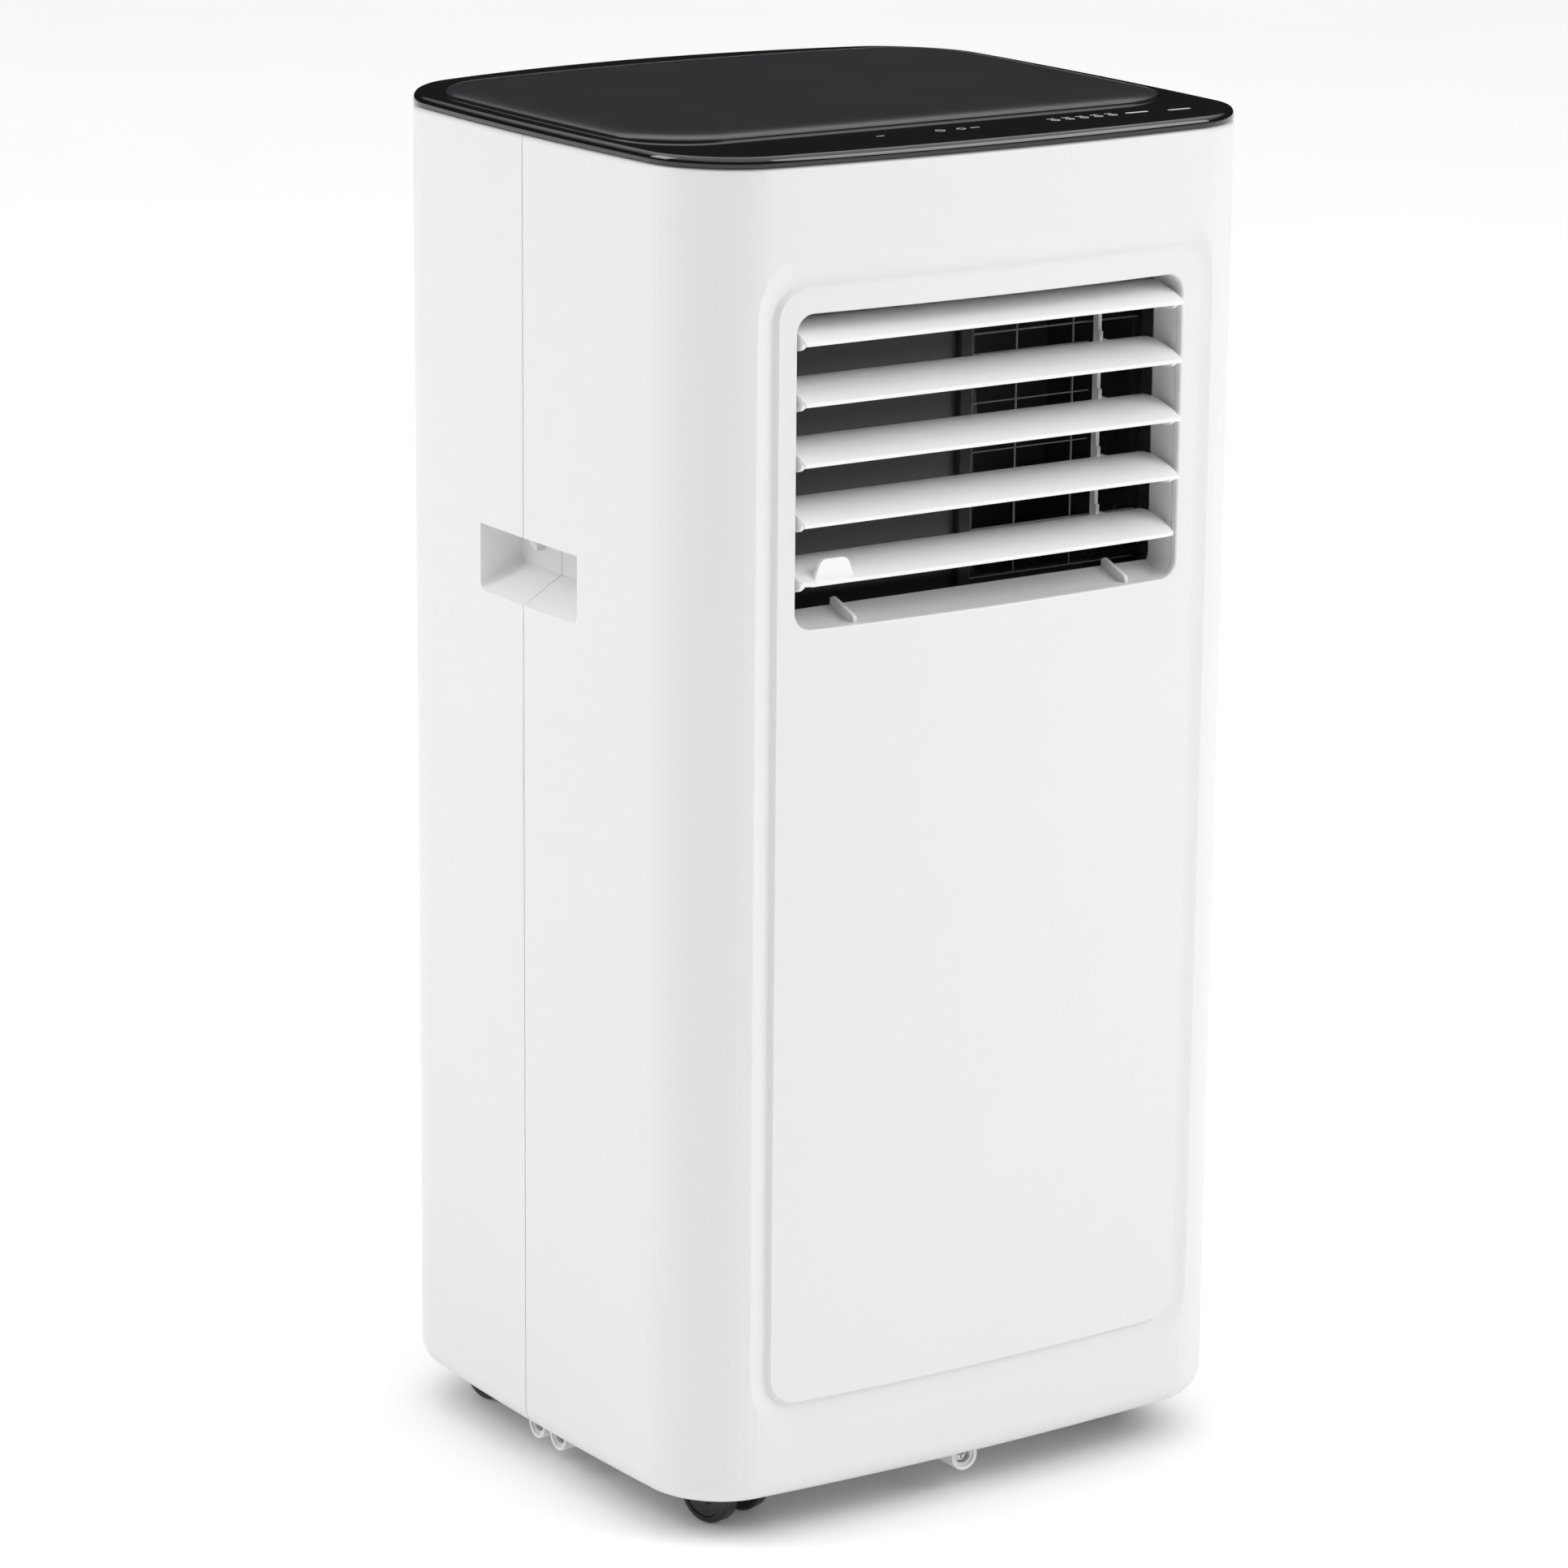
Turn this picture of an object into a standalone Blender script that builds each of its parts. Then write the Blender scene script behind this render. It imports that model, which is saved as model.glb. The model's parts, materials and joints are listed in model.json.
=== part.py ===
"""Portable air conditioner on four twin-wheel casters, as an assembly of separate pieces.

Metres, +Z up. The floor is z = 0, the front faces -Y, and the origin is under the middle of the body.
"""

import math

import bmesh
import bpy
from mathutils import Matrix, Vector

# Body
GROUND_CLEARANCE = 0.021
BODY_HEIGHT = 0.650
BODY_WIDTH = 0.336
BODY_DEPTH = 0.320
SIDE_BOW = 0.0056
FRONT_BOW = 0.0098
BACK_BOW = 0.0298
CORNER_RADIUS = 0.039
FOOT_FILLET = 0.0126
SHOULDER_FILLET = 0.003
WALL = 0.0032
FOOT_LIP = 0.001
SEAM_Y = -0.0061
GAP = 0.0003
FIT = 0.0010

# Top
BEZEL_HEIGHT = 0.005
BEZEL_RIM = 0.0015
BEZEL_SLOPE = 0.009
PLATE_HEIGHT = 0.003
PLATE_SHOULDER = 0.014
PLATE_SIDE_INSET = 0.011
PLATE_FRONT_INSET = 0.050
PLATE_BACK_INSET = 0.016
PLATE_CORNER = 0.036

# Front panel and air outlet, heights above the body's lower edge
OUTLET_WIDTH = 0.222
OUTLET_LOW = 0.432
OUTLET_HIGH = 0.581
OUTLET_RADIUS = 0.009
OUTLET_DEPTH = 0.022
FRAME_WALL = 0.0022
RIB_LEFT = 0.0350
RIB_RIGHT = 0.0278
RIB_HEIGHT = 0.009
PANEL_WIDTH = 0.241
PANEL_LOW = 0.051
PANEL_HIGH = 0.592
PANEL_RADIUS = 0.016
GROOVE_STEP = 0.002
GROOVE_WIDTH = 0.016
GROOVE_DEPTH = 0.0020

# Louvers
LOUVER_COUNT = 5
LOUVER_PITCH = 0.0284
LOUVER_TOP_DROP = 0.0135
LOUVER_CHORD = 0.031
LOUVER_RISE = 0.007
LOUVER_CAMBER = 0.0028
LOUVER_THICKNESS = 0.0024
LOUVER_END_GAP = 0.0020
PIVOT_BACK = 0.0125
PIVOT_RADIUS = 0.0018
PIVOT_CLEARANCE = 0.0003
LINK_X = 0.0860
LINK_THICKNESS = 0.0020
LINK_WIDTH = 0.0052
LINK_GAP = 0.0038
LINK_PIN_RADIUS = 0.0011

# Casters
WHEEL_RADIUS = 0.016
WHEEL_WIDTH = 0.009
WHEEL_OFFSET = 0.0115
AXLE_RADIUS = 0.0025
CASTER_TRAIL = 0.0090
CASTER_X = 0.1185
CASTER_FRONT = 0.0502
CASTER_BACK = 0.0465
CASTER_HEIGHT = 0.044
CASTER_TURNS = (14, 172, 187, 165)
STEM_RADIUS = 0.004

# Inside
PAN_THICKNESS = 0.003
PAN_RIM = 0.012
TRAY_LOW = 0.367
TRAY_HEIGHT = 0.016
BLOWER_RADIUS = 0.066
BLOWER_LENGTH = 0.052
BLOWER_SIDE_GAP = 0.0155
SCROLL_OVERHANG = 0.007
SCROLL_WALL = 0.0025
BLADES = 16
COMPRESSOR_RADIUS = 0.050
COMPRESSOR_HEIGHT = 0.200
COLLAR_RADIUS = 0.062
COLLAR_WALL = 0.003
COLLAR_GAP = 0.007
COLLAR_HEIGHT = TRAY_LOW - COLLAR_GAP - COLLAR_WALL - COLLAR_RADIUS
GRILLE_GAP = 0.025

X, Y, Z = Vector((1, 0, 0)), Vector((0, 1, 0)), Vector((0, 0, 1))
FLOOR = GROUND_CLEARANCE
BODY_TOP = FLOOR + BODY_HEIGHT
HALF_WIDTH = BODY_WIDTH / 2 - SIDE_BOW
FRONT_LINE = -BODY_DEPTH / 2 + FRONT_BOW
BACK_LINE = BODY_DEPTH / 2 - BACK_BOW
MIDDLE_Y = (FRONT_LINE + BACK_LINE) / 2
HALF_DEPTH = (BACK_LINE - FRONT_LINE) / 2


def clear_scene():
    for obj in list(bpy.data.objects):
        bpy.data.objects.remove(obj, do_unlink=True)


def collection(name):
    made = bpy.data.collections.new(name)
    bpy.context.scene.collection.children.link(made)
    return made


clear_scene()
PARTS = collection("portable_air_conditioner")
CUTTERS = collection("cutters")


def material(name, colour, roughness, metallic=0.0):
    made = bpy.data.materials.new(name)
    made.use_nodes = True
    shader = made.node_tree.nodes["Principled BSDF"]
    shader.inputs["Base Color"].default_value = (*colour, 1.0)
    shader.inputs["Roughness"].default_value = roughness
    shader.inputs["Metallic"].default_value = metallic
    return made


WHITE = material("white_abs", (0.86, 0.86, 0.85), 0.38)
GLOSS_BLACK = material("smoked_gloss", (0.03, 0.03, 0.033), 0.06)
CHARCOAL = material("charcoal_plate", (0.045, 0.045, 0.05), 0.22)
DARK_GREY = material("dark_grey_plastic", (0.05, 0.05, 0.055), 0.5)
LIGHT_GREY = material("light_grey_plastic", (0.62, 0.62, 0.61), 0.45)
BLACK_NYLON = material("black_nylon", (0.015, 0.015, 0.015), 0.35)
RUBBER = material("black_rubber", (0.02, 0.02, 0.02), 0.8)
FILTER_MESH = material("filter_mesh", (0.22, 0.24, 0.27), 0.7)
GALVANISED = material("galvanised_steel", (0.55, 0.56, 0.57), 0.4, 0.9)
BLACK_ENAMEL = material("black_enamel", (0.02, 0.02, 0.022), 0.3)
ALUMINIUM_FIN = material("aluminium_fin", (0.75, 0.76, 0.78), 0.35, 1.0)
COPPER = material("copper_tube", (0.72, 0.38, 0.22), 0.3, 1.0)
BOARD_GREEN = material("circuit_board", (0.03, 0.18, 0.08), 0.5)
STEEL = material("screw_steel", (0.6, 0.6, 0.6), 0.3, 1.0)


def new_object(name, shape, look=None, parent=None):
    """Makes a named object from a bmesh. Without a look it is a cutter, which stays out of the model."""
    mesh = bpy.data.meshes.new(name)
    bmesh.ops.recalc_face_normals(shape, faces=shape.faces)
    shape.to_mesh(mesh)
    shape.free()
    obj = bpy.data.objects.new(name, mesh)
    if look is None:
        CUTTERS.objects.link(obj)
        obj.hide_render = True
        obj.display_type = "WIRE"
        return obj
    PARTS.objects.link(obj)
    mesh.materials.append(look)
    mesh.shade_smooth()
    mesh.set_sharp_from_angle(angle=math.radians(30))
    if parent is not None:
        obj.parent = parent
        obj.matrix_parent_inverse = Matrix.Translation(-parent.location)
    return obj


def joint_axis(name, place):
    """An empty on a joint's axis, which carries the pieces that move with it."""
    empty = bpy.data.objects.new(name, None)
    empty.empty_display_size = 0.02
    empty.location = place
    PARTS.objects.link(empty)
    return empty


def combine(obj, operation, *shapes):
    """Adds one exact Boolean for all the shapes, which may not touch each other."""
    joined = bmesh.new()
    for shape in shapes:
        scratch = bpy.data.meshes.new("scratch")
        bmesh.ops.recalc_face_normals(shape, faces=shape.faces)
        shape.to_mesh(scratch)
        shape.free()
        joined.from_mesh(scratch)
        bpy.data.meshes.remove(scratch)
    tool = new_object(f"{obj.name}_{operation.lower()}_{len(obj.modifiers)}", joined)
    modifier = obj.modifiers.new(operation.lower(), "BOOLEAN")
    modifier.operation = operation
    modifier.object = tool
    modifier.solver = "EXACT"
    return obj


def cut(obj, *shapes):
    return combine(obj, "DIFFERENCE", *shapes)


def join(obj, *shapes):
    """Unions the shapes one by one, so that they may overlap each other."""
    for shape in shapes:
        combine(obj, "UNION", shape)
    return obj


def keep(obj, shape):
    return combine(obj, "INTERSECT", shape)


def prism(points, axis, low, high):
    """A flat outline pushed along an axis. Its two coordinates are the other axes, in X, Y, Z order."""
    others = [a for a in (X, Y, Z) if a is not axis]
    shape = bmesh.new()
    corners = [shape.verts.new(others[0] * p + others[1] * q + axis * low) for p, q in points]
    face = shape.faces.new(corners)
    pushed = bmesh.ops.extrude_face_region(shape, geom=[face])["geom"]
    moved = [item for item in pushed if isinstance(item, bmesh.types.BMVert)]
    bmesh.ops.translate(shape, verts=moved, vec=axis * (high - low))
    return shape


def box(low, high):
    low, high = Vector(low), Vector(high)
    size = high - low
    place = Matrix.Translation((low + high) / 2) @ Matrix.Diagonal((*size, 1))
    shape = bmesh.new()
    bmesh.ops.create_cube(shape, size=1, matrix=place)
    return shape


def cylinder(centre, axis, radius, low, high, sides=24, far_radius=None):
    """A round bar along an axis, through centre, from low to high along it."""
    turn = axis.to_track_quat("Z", "Y").to_matrix().to_4x4()
    flat = Vector(centre)
    flat -= axis * flat.dot(axis)
    place = Matrix.Translation(flat + axis * (low + high) / 2) @ turn
    shape = bmesh.new()
    bmesh.ops.create_cone(
        shape,
        cap_ends=True,
        segments=sides,
        radius1=radius,
        radius2=radius if far_radius is None else far_radius,
        depth=high - low,
        matrix=place,
    )
    return shape


def soften(shape, width, segments=2, angle=40):
    """Rounds the edges that turn by more than the angle."""
    bmesh.ops.recalc_face_normals(shape, faces=shape.faces)
    edges = [e for e in shape.edges if e.calc_face_angle(0) > math.radians(angle)]
    bmesh.ops.bevel(
        shape, geom=edges, offset=width, segments=segments, profile=0.5, affect="EDGES", material=-1
    )
    return shape


def rounded_rectangle(left, right, low, high, radius, steps=4):
    """Corner arcs of a rectangle, anticlockwise from the far right corner."""
    points = []
    corners = ((right, high, 0), (left, high, 90), (left, low, 180), (right, low, 270))
    for corner_x, corner_y, start in corners:
        centre_x = corner_x - math.copysign(radius, corner_x - (left + right) / 2)
        centre_y = corner_y - math.copysign(radius, corner_y - (low + high) / 2)
        for step in range(steps + 1):
            angle = math.radians(start + 90 * step / steps)
            points.append((centre_x + radius * math.cos(angle), centre_y + radius * math.sin(angle)))
    return points


def subdivided(points, longest):
    """The closed outline with extra points wherever a side is longer than longest."""
    result = []
    for (x0, y0), (x1, y1) in zip(points, points[1:] + points[:1]):
        pieces = max(1, math.ceil(math.hypot(x1 - x0, y1 - y0) / longest))
        result += [(x0 + (x1 - x0) * i / pieces, y0 + (y1 - y0) * i / pieces) for i in range(pieces)]
    return result


def bowed(x, y):
    """Pushes a point of the square plan outwards, as the body's sides swell."""
    side = min(abs(x) / HALF_WIDTH, 1) ** 4
    end = min(abs(y - MIDDLE_Y) / HALF_DEPTH, 1) ** 4
    across = max(0, 1 - (x / HALF_WIDTH) ** 2)
    along = max(0, 1 - ((y - MIDDLE_Y) / HALF_DEPTH) ** 2)
    bow = BACK_BOW if y > MIDDLE_Y else -FRONT_BOW
    return x + math.copysign(SIDE_BOW * along * side, x), y + bow * across * end


def plan(sides=0.0, front=None, back=None, radius=None, longest=0.034):
    """The body's plan outline, moved in by the insets given."""
    front = sides if front is None else front
    back = sides if back is None else back
    radius = max(CORNER_RADIUS - sides, 0.004) if radius is None else radius
    corners = rounded_rectangle(
        sides - HALF_WIDTH, HALF_WIDTH - sides, FRONT_LINE + front, BACK_LINE - back, radius, 6
    )
    return [bowed(x, y) for x, y in subdivided(corners, longest)]


def front_y(x):
    """The body's front surface."""
    return FRONT_LINE - FRONT_BOW * (1 - (x / HALF_WIDTH) ** 2)


def back_y(x):
    """The body's rear surface."""
    return BACK_LINE + BACK_BOW * (1 - (x / HALF_WIDTH) ** 2)


def rim_edges(shape, height):
    """The edges that lie level at a height."""
    near = [v for v in shape.verts if abs(v.co.z - height) < 1e-6]
    return [e for e in shape.edges if e.verts[0] in near and e.verts[1] in near]


def body_solid(inset, low, high, low_fillet, high_fillet=0.0):
    shape = prism(plan(inset), Z, low, high)
    bmesh.ops.recalc_face_normals(shape, faces=shape.faces)
    for height, radius, segments in ((low, low_fillet, 3), (high, high_fillet, 2)):
        if radius > 0:
            bmesh.ops.bevel(
                shape,
                geom=rim_edges(shape, height),
                offset=radius,
                segments=segments,
                profile=0.5,
                affect="EDGES",
                material=-1,
            )
    return shape


def cavity(inset=0.0):
    """The space inside the shells, and a little over their open top."""
    fillet = max(FOOT_FILLET - WALL - inset, 0.002)
    return body_solid(WALL + inset, FLOOR + WALL + inset, BODY_TOP + 0.02, fillet)


# ---------------------------------------------------------------- shells

HANDLE_FRONT = SEAM_Y - 0.0485
HANDLE_BACK = SEAM_Y + 0.0410
HANDLE_LOW = FLOOR + 0.421
HANDLE_HIGH = FLOOR + 0.4555
HANDLE_DEPTH = 0.022
HANDLE_SLOPE = 0.014
LUG_RADIUS = 0.0075
LUG_HANG = 0.0022
LUG_LENGTH = 0.016
LUG_BORE = 0.0046
SIDE_LUG_OFFSET = 0.0100
LUG_Z = FLOOR - LUG_HANG
SIDE_LUG_X = BODY_WIDTH / 2 - FOOT_FILLET
FRONT_LUG_Y = front_y(0) + FOOT_FILLET
GRILLE_HALF = 0.112
UPPER_GRILLE = (FLOOR + 0.392, FLOOR + 0.612)
LOWER_GRILLE = (FLOOR + 0.062, FLOOR + COLLAR_HEIGHT - COLLAR_RADIUS - COLLAR_WALL - GRILLE_GAP)
DRAIN_RADIUS = 0.008
UPPER_DRAIN = (0.118, TRAY_LOW + FLOOR + 0.008)
PAN_LOW = CASTER_HEIGHT + 0.001
PAN_TOP = PAN_LOW + PAN_THICKNESS
LOWER_DRAIN = (0.118, PAN_LOW + PAN_RIM + DRAIN_RADIUS + FIT)
GLAND_RADIUS = 0.009
GLAND = (-0.118, PAN_LOW + PAN_RIM + GLAND_RADIUS + FIT)
COLLAR_Z = FLOOR + COLLAR_HEIGHT


def handle_profile(swell):
    """The finger recess seen along Y, as X and Z on the +X side, its walls moved out by swell."""
    mouth = BODY_WIDTH / 2 + 0.002
    deep = BODY_WIDTH / 2 - HANDLE_DEPTH - swell
    return [
        (mouth, HANDLE_LOW - swell),
        (mouth, HANDLE_HIGH + swell),
        (deep, HANDLE_HIGH + swell),
        (deep, HANDLE_LOW + HANDLE_SLOPE - swell),
    ]


def handle_shape(side, swell):
    points = [(side * x, z) for x, z in handle_profile(swell)]
    return prism(points, Y, HANDLE_FRONT - swell, HANDLE_BACK + swell)


def side_lug(side, y):
    """A screw lug under the body's side, with its round end down."""
    arc = [math.radians(180 + 180 * i / 8) for i in range(9)]
    points = [(y + LUG_RADIUS * math.cos(a), LUG_Z + LUG_RADIUS * math.sin(a)) for a in arc]
    points += [(y + LUG_RADIUS, FLOOR + WALL), (y - LUG_RADIUS, FLOOR + WALL)]
    ends = sorted((side * SIDE_LUG_X, side * (SIDE_LUG_X - LUG_LENGTH)))
    return prism(points, X, *ends)


def front_lug():
    arc = [math.radians(180 + 180 * i / 8) for i in range(9)]
    points = [(LUG_RADIUS * math.cos(a), LUG_Z + LUG_RADIUS * math.sin(a)) for a in arc]
    points += [(LUG_RADIUS, FLOOR + WALL), (-LUG_RADIUS, FLOOR + WALL)]
    return prism(points, Y, FRONT_LUG_Y, FRONT_LUG_Y + LUG_LENGTH)


def panel_loop(grow, offset, radius):
    """A rounded rectangle round the front panel, laid on the bowed front at an offset outwards."""
    flat = rounded_rectangle(
        -PANEL_WIDTH / 2 - grow,
        PANEL_WIDTH / 2 + grow,
        FLOOR + PANEL_LOW - grow,
        FLOOR + PANEL_HIGH + grow,
        radius,
        4,
    )
    return [Vector((x, front_y(x) - offset, z)) for x, z in subdivided(flat, 0.045)]


def panel_groove():
    """The cutter for the groove round the front panel: a short step inside and a long slope outside."""
    over = 0.0006
    slope = (GROOVE_WIDTH - GROOVE_STEP) / GROOVE_DEPTH
    outer = GROOVE_WIDTH + over * slope
    loops = (
        panel_loop(0.0, over, PANEL_RADIUS),
        panel_loop(GROOVE_STEP, -GROOVE_DEPTH, PANEL_RADIUS + GROOVE_STEP),
        panel_loop(outer, over, PANEL_RADIUS + outer),
    )
    shape = bmesh.new()
    rings = [[shape.verts.new(p) for p in loop] for loop in loops]
    count = min(len(ring) for ring in rings)
    for first, second in zip(rings, rings[1:] + rings[:1]):
        for i in range(count):
            shape.faces.new((first[i], first[(i + 1) % count], second[(i + 1) % count], second[i]))
    return shape


def outlet_outline(grow=0.0):
    half = OUTLET_WIDTH / 2 + grow
    return rounded_rectangle(
        -half, half, FLOOR + OUTLET_LOW - grow, FLOOR + OUTLET_HIGH + grow, OUTLET_RADIUS + grow, 4
    )


def grille_hole(heights, grow=0.0):
    outline = rounded_rectangle(
        -GRILLE_HALF - grow, GRILLE_HALF + grow, heights[0] - grow, heights[1] + grow, 0.008 + grow, 3
    )
    return prism(outline, Y, BACK_LINE - 0.03, BODY_DEPTH / 2 + 0.02)


def lug_bore_side(side, y):
    ends = sorted((side * (SIDE_LUG_X + 0.01), side * (SIDE_LUG_X - LUG_LENGTH + 0.002)))
    return cylinder((0, y, LUG_Z), X, LUG_BORE, *ends, sides=16)


def whole_shell(name, look):
    shell = new_object(name, body_solid(0, FLOOR, BODY_TOP, FOOT_FILLET, SHOULDER_FILLET), look)
    lip = prism(plan(FOOT_FILLET + FOOT_LIP), Z, FLOOR - 0.01, FLOOR + 0.02)
    cut(shell, cavity())
    cut(shell, lip)
    join(shell, *[handle_shape(side, WALL) for side in (-1, 1)])
    cut(shell, *[handle_shape(side, 0) for side in (-1, 1)])
    keep(shell, prism(plan(), Z, FLOOR - 0.02, BODY_TOP + 0.02))
    return shell


def front_shell():
    shell = whole_shell("front_shell", WHITE)
    lugs = [side_lug(side, SEAM_Y - SIDE_LUG_OFFSET) for side in (-1, 1)]
    join(shell, *lugs, front_lug())
    bores = [lug_bore_side(side, SEAM_Y - SIDE_LUG_OFFSET) for side in (-1, 1)]
    bores.append(
        cylinder((0, 0, LUG_Z), Y, LUG_BORE, FRONT_LUG_Y - 0.01, FRONT_LUG_Y + LUG_LENGTH - 0.002, 16)
    )
    cut(shell, *bores)
    cut(shell, panel_groove())
    cut(shell, prism(outlet_outline(), Y, -BODY_DEPTH / 2 - 0.02, FRONT_LINE + 0.02))
    keep(shell, box((-1, -1, -1), (1, SEAM_Y - GAP / 2, 1)))
    return shell


def rear_shell():
    shell = whole_shell("rear_shell", WHITE)
    join(shell, *[side_lug(side, SEAM_Y + SIDE_LUG_OFFSET) for side in (-1, 1)])
    cut(shell, *[lug_bore_side(side, SEAM_Y + SIDE_LUG_OFFSET) for side in (-1, 1)])
    holes = [grille_hole(UPPER_GRILLE), grille_hole(LOWER_GRILLE)]
    ends = (BACK_LINE - 0.03, BODY_DEPTH / 2 + 0.02)
    holes.append(cylinder((0, 0, COLLAR_Z), Y, COLLAR_RADIUS + COLLAR_WALL + FIT, *ends, sides=40))
    for (x, z), radius in ((UPPER_DRAIN, DRAIN_RADIUS), (LOWER_DRAIN, DRAIN_RADIUS), (GLAND, GLAND_RADIUS)):
        holes.append(cylinder((x, 0, z), Y, radius + GAP, *ends, sides=16))
    cut(shell, *holes)
    keep(shell, box((-1, SEAM_Y + GAP / 2, -1), (1, 1, 1)))
    return shell


def lug_screw(name, place, axis, outward):
    """A pan-head screw sunk in a lug, with a crossed recess. place is the middle of the lug's open face."""
    face = Vector(place).dot(axis)
    head, tip = face - outward * 0.003, face - outward * (LUG_LENGTH - 0.004)
    disc = sorted((head, head - outward * 0.002))
    shaft = sorted((head - outward * 0.001, tip))
    screw = new_object(name, cylinder(place, axis, LUG_BORE - 0.0006, *disc, sides=16), STEEL)
    join(screw, cylinder(place, axis, 0.0018, *shaft, sides=10))
    centre = Vector(place) + axis * (head - face)
    across = Y if axis is X else X
    for along, thin in ((across, Z), (Z, across)):
        half = along * 0.0024 + thin * 0.0004 + axis * 0.001
        cut(screw, box(centre - half, centre + half))
    return screw


# ---------------------------------------------------------------- top


def top_bezel():
    """The gloss cover: a low rim, a wide sloped edge and a flat top with a seat for the plate."""
    low, high = BODY_TOP + GAP, BODY_TOP + BEZEL_HEIGHT
    shape = bmesh.new()
    levels = (
        (low, 0.0),
        (low + BEZEL_RIM, 0.0),
        (high - BEZEL_RIM, BEZEL_SLOPE * 0.45),
        (high, BEZEL_SLOPE),
    )
    rings = [[shape.verts.new((*p, z)) for p in plan(inset, radius=CORNER_RADIUS - inset)] for z, inset in levels]
    for lower, upper in zip(rings, rings[1:]):
        for i in range(len(lower)):
            j = (i + 1) % len(lower)
            shape.faces.new((lower[i], lower[j], upper[j], upper[i]))
    shape.faces.new(rings[0])
    shape.faces.new(rings[-1])
    bezel = new_object("top_bezel", shape, GLOSS_BLACK)
    cut(bezel, prism(plate_plan(-FIT / 2), Z, high - PLATE_SEAT, high + 0.01))
    return bezel


PLATE_SEAT = 0.002


def plate_plan(inset):
    return plan(
        PLATE_SIDE_INSET + inset,
        PLATE_FRONT_INSET + inset,
        PLATE_BACK_INSET + inset,
        radius=PLATE_CORNER - max(inset, 0),
    )


def top_plate():
    """The raised charcoal plate, with a wide soft shoulder down to the bezel."""
    low = BODY_TOP + BEZEL_HEIGHT - PLATE_SEAT + GAP
    rim = BODY_TOP + BEZEL_HEIGHT + 0.0008
    high = BODY_TOP + BEZEL_HEIGHT + PLATE_HEIGHT
    levels = (
        (low, 0.0),
        (rim, 0.0),
        (rim + (high - rim) * 0.6, PLATE_SHOULDER * 0.35),
        (high, PLATE_SHOULDER),
    )
    shape = bmesh.new()
    rings = [[shape.verts.new((*p, z)) for p in plate_plan(inset)] for z, inset in levels]
    for lower, upper in zip(rings, rings[1:]):
        for i in range(len(lower)):
            j = (i + 1) % len(lower)
            shape.faces.new((lower[i], lower[j], upper[j], upper[i]))
    shape.faces.new(rings[0])
    shape.faces.new(rings[-1])
    return new_object("top_plate", shape, CHARCOAL)


def control_board():
    low = BODY_TOP - 0.012
    front = FRONT_LINE + WALL + 0.006
    board = new_object("control_board", box((-0.10, front, low), (0.10, front + 0.042, low + 0.0016)), BOARD_GREEN)
    for x in (-0.06, 0.01, 0.055):
        join(board, box((x, front + 0.012, low - 0.001), (x + 0.022, front + 0.028, low + 0.006)))
    return board


# ---------------------------------------------------------------- outlet

LOUVER_HALF = OUTLET_WIDTH / 2 - LOUVER_END_GAP
LOUVER_FRONT = -BODY_DEPTH / 2 + 0.0002
PIVOT_Y = LOUVER_FRONT + PIVOT_BACK
FRAME_BACK = front_y(OUTLET_WIDTH / 2) + OUTLET_DEPTH
LINK_PIN_Y = LOUVER_FRONT + LOUVER_CHORD + LINK_GAP + LINK_WIDTH / 2
LINK_PIN_RISE = 0.0030


def louver_z(index):
    """The height of a louver's front edge and pivot, counted from the top."""
    return FLOOR + OUTLET_HIGH - LOUVER_TOP_DROP - index * LOUVER_PITCH


def outlet_frame():
    """The white throat behind the front panel's opening, with the louver bearings and two sill ribs."""
    frame = new_object(
        "outlet_frame", prism(outlet_outline(FRAME_WALL), Y, -BODY_DEPTH / 2, FRAME_BACK), WHITE
    )
    cut(frame, prism(outlet_outline(), Y, -BODY_DEPTH / 2 - 0.01, FRAME_BACK + 0.01))
    sill = FLOOR + OUTLET_LOW
    for x in (-OUTLET_WIDTH / 2 + RIB_LEFT, OUTLET_WIDTH / 2 - RIB_RIGHT):
        rib = [
            (front_y(x) + 0.002, sill - FRAME_WALL / 2),
            (FRAME_BACK, sill - FRAME_WALL / 2),
            (FRAME_BACK, sill + RIB_HEIGHT),
            (FRAME_BACK - 0.004, sill + RIB_HEIGHT),
            (front_y(x) + 0.004, sill + 0.002),
        ]
        join(frame, prism(rib, X, x - 0.001, x + 0.001))
    keep(frame, body_solid(WALL + GAP, FLOOR + WALL, BODY_TOP, 0.004))
    bores = []
    for index in range(LOUVER_COUNT):
        centre = (0, PIVOT_Y, louver_z(index))
        bores.append(
            cylinder(centre, X, PIVOT_RADIUS + PIVOT_CLEARANCE, -BODY_WIDTH / 2, BODY_WIDTH / 2, sides=12)
        )
    cut(frame, *bores)
    return frame


def blade_section(y):
    """The louver's upper and lower height at a depth behind its front edge."""
    share = y / LOUVER_CHORD
    middle = LOUVER_RISE * share + 4 * LOUVER_CAMBER * share * (1 - share)
    half = LOUVER_THICKNESS / 2 * (0.45 + 0.55 * min(1, 4 * min(share, 1 - share)))
    return middle + half, middle - half


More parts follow.
